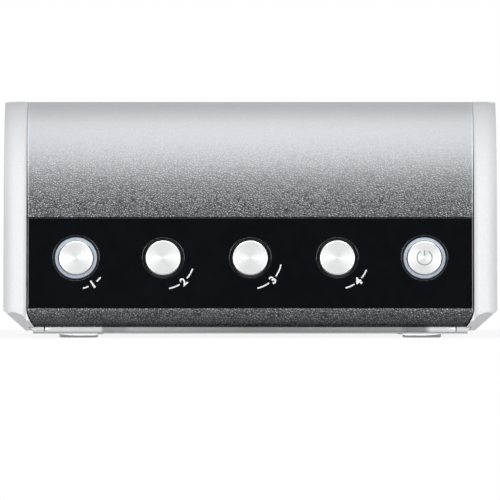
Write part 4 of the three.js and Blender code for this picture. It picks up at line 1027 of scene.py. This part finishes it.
# Film doors: a flap in each cheek, painted like it, with a round knuckle along its lower edge.
# It swings down on a thin steel pin that is pressed into the cheek.
door_gap = 0.3 * mm
door_half = 1.5 * mm
door_edge = 0.35 * mm
door_bore = 0.9 * mm
door_top = door_z[1] - door_gap
door_span = (door_y[0] + door_gap, door_y[1] - door_gap)
knuckle_stations = door_half * np.sin(np.linspace(-pi / 2, pi / 2, 17))
edge_stations = door_half - door_edge + door_edge * np.sin(np.linspace(0, pi / 2, 6))
stations = np.unique(np.concatenate([knuckle_stations, edge_stations, -edge_stations]))
for side_sign, word in ((-1, "left"), (1, "right")):
    rows = []
    for place, trimmed, rolled in zip(stations, drawn_in(stations, door_edge), drawn_in(stations, door_half)):
        span = (door_span[0] + trimmed, door_span[1] - trimmed)
        rise = (hinge[1] - door_half + rolled, door_top - trimmed)
        outline = arched_outline(span, rise, door_corner - trimmed)
        rows.append(np.insert(outline, 0, side_sign * (hinge[0] + place), 1))
    rows = np.stack(rows)
    leaf = build(f"silver_{word}_film_door", rows, with_ends(*rows.shape[:2]), silver_paint)
    bore = disc_outline((side_sign * hinge[0], hinge[1]), door_bore, 24)
    cut_with(leaf, [cutter("bore", bore, 1, (door_y[0] - past, door_y[1] + past))])
    stand_for(leaf, f"{word}_door", "silver_plastic", f"{word}_film_door")
finish_nodes(bright_steel, "steel", "left_door_pin", "right_door_pin")

# Trim strip: three lengths of crowned plastic strip with a brushed silver face, glued along
# the lower front edge on the ledge of the pan. The short ends meet the cheeks on a slant.
trim_z = (2.0 * mm, 3.9 * mm)
trim_y = (-137.5 * mm, -134.2 * mm)
trim_crown = 0.35 * mm
trim_slant = 1.1 * mm
trim_joint = 74 * mm
trim_end = 79.4 * mm
trim_round = 0.2 * mm

# Painted reflections on the strip: its tone from left to right, light and dark bands at places in millimetres
strip_reflection_tones = ((-54, 0.66), (-53, 0.29), (-45, 0.32), (-43, 0.4), (0, 0.24), (54, 0.3), (56, 0.22),
               (63, 0.25), (65, 0.7))
strip_metal, tree, shader = new_material("strip_metal", Metallic=0.3, Specular_IOR_Level=0.3)
lines = use_group(tree, drawn, Line=0.1 * mm)["Mask"]
# Painted reflections: light and dark bands across the strip's face, by place from left to right
painted_reflections = levels_along(tree, "X", strip_reflection_tones, (1, 1, 1.01))
toned = add_node(tree, "ShaderNodeMix", {"Factor": 1.0, "A": painted_reflections, "B": ranged(tree, lines, 0, 1, 0.9, 1.05)},
                 data_type="RGBA", blend_type="MULTIPLY")
tree.links.new(toned.outputs["Result"], shader.inputs["Base Color"])
vary(tree, shader.inputs["Roughness"], lines, 0.3, 0.4)
emboss(tree, shader, lines, 0.001 * mm)


def trim_strip(name, start, end, slant):
    """A strip from one place across to another. Its section is a flat block with a front that
    bulges as a half wave. Both ends draw in on a quarter circle, and the last one leans."""
    front_turn = np.linspace(0, pi, 13)
    middle_z, half_height = (trim_z[0] + trim_z[1]) / 2, (trim_z[1] - trim_z[0]) / 2
    front = np.stack([trim_y[0] + trim_crown * (1 - np.sin(front_turn)),
                      middle_z - half_height * np.cos(front_turn)], 1)
    section = np.concatenate([front, [(trim_y[1], trim_z[1]), (trim_y[1], trim_z[0])]])
    across = end_steps(end - start, trim_round, 40)
    inset = drawn_in(across, trim_round)[:, None, None]
    rows = section - inset * np.sign(section - section.mean(0))
    lean_share = (trim_z[1] - rows[..., 1]) / (trim_z[1] - trim_z[0]) * (across / across[-1])[:, None]
    x = (start + across)[:, None] - slant * lean_share
    points = np.stack([x, rows[..., 0], rows[..., 1]], -1)
    return build(name, points, with_ends(len(across), len(section)), strip_metal)


stand_for(trim_strip("long_trim_strip", -trim_joint, trim_joint, 0), "case", "silver_plastic", "front_trim")
for side_sign, word in ((-1, "left"), (1, "right")):
    strip = trim_strip(f"short_{word}_trim_strip", trim_joint + seam, trim_end, trim_slant)
    if side_sign < 0:
        strip.data.transform(Matrix.Diagonal((-1, 1, 1, 1)))
        strip.data.flip_normals()
    stand_for(strip, "case", "silver_plastic", f"{word}_trim_end")
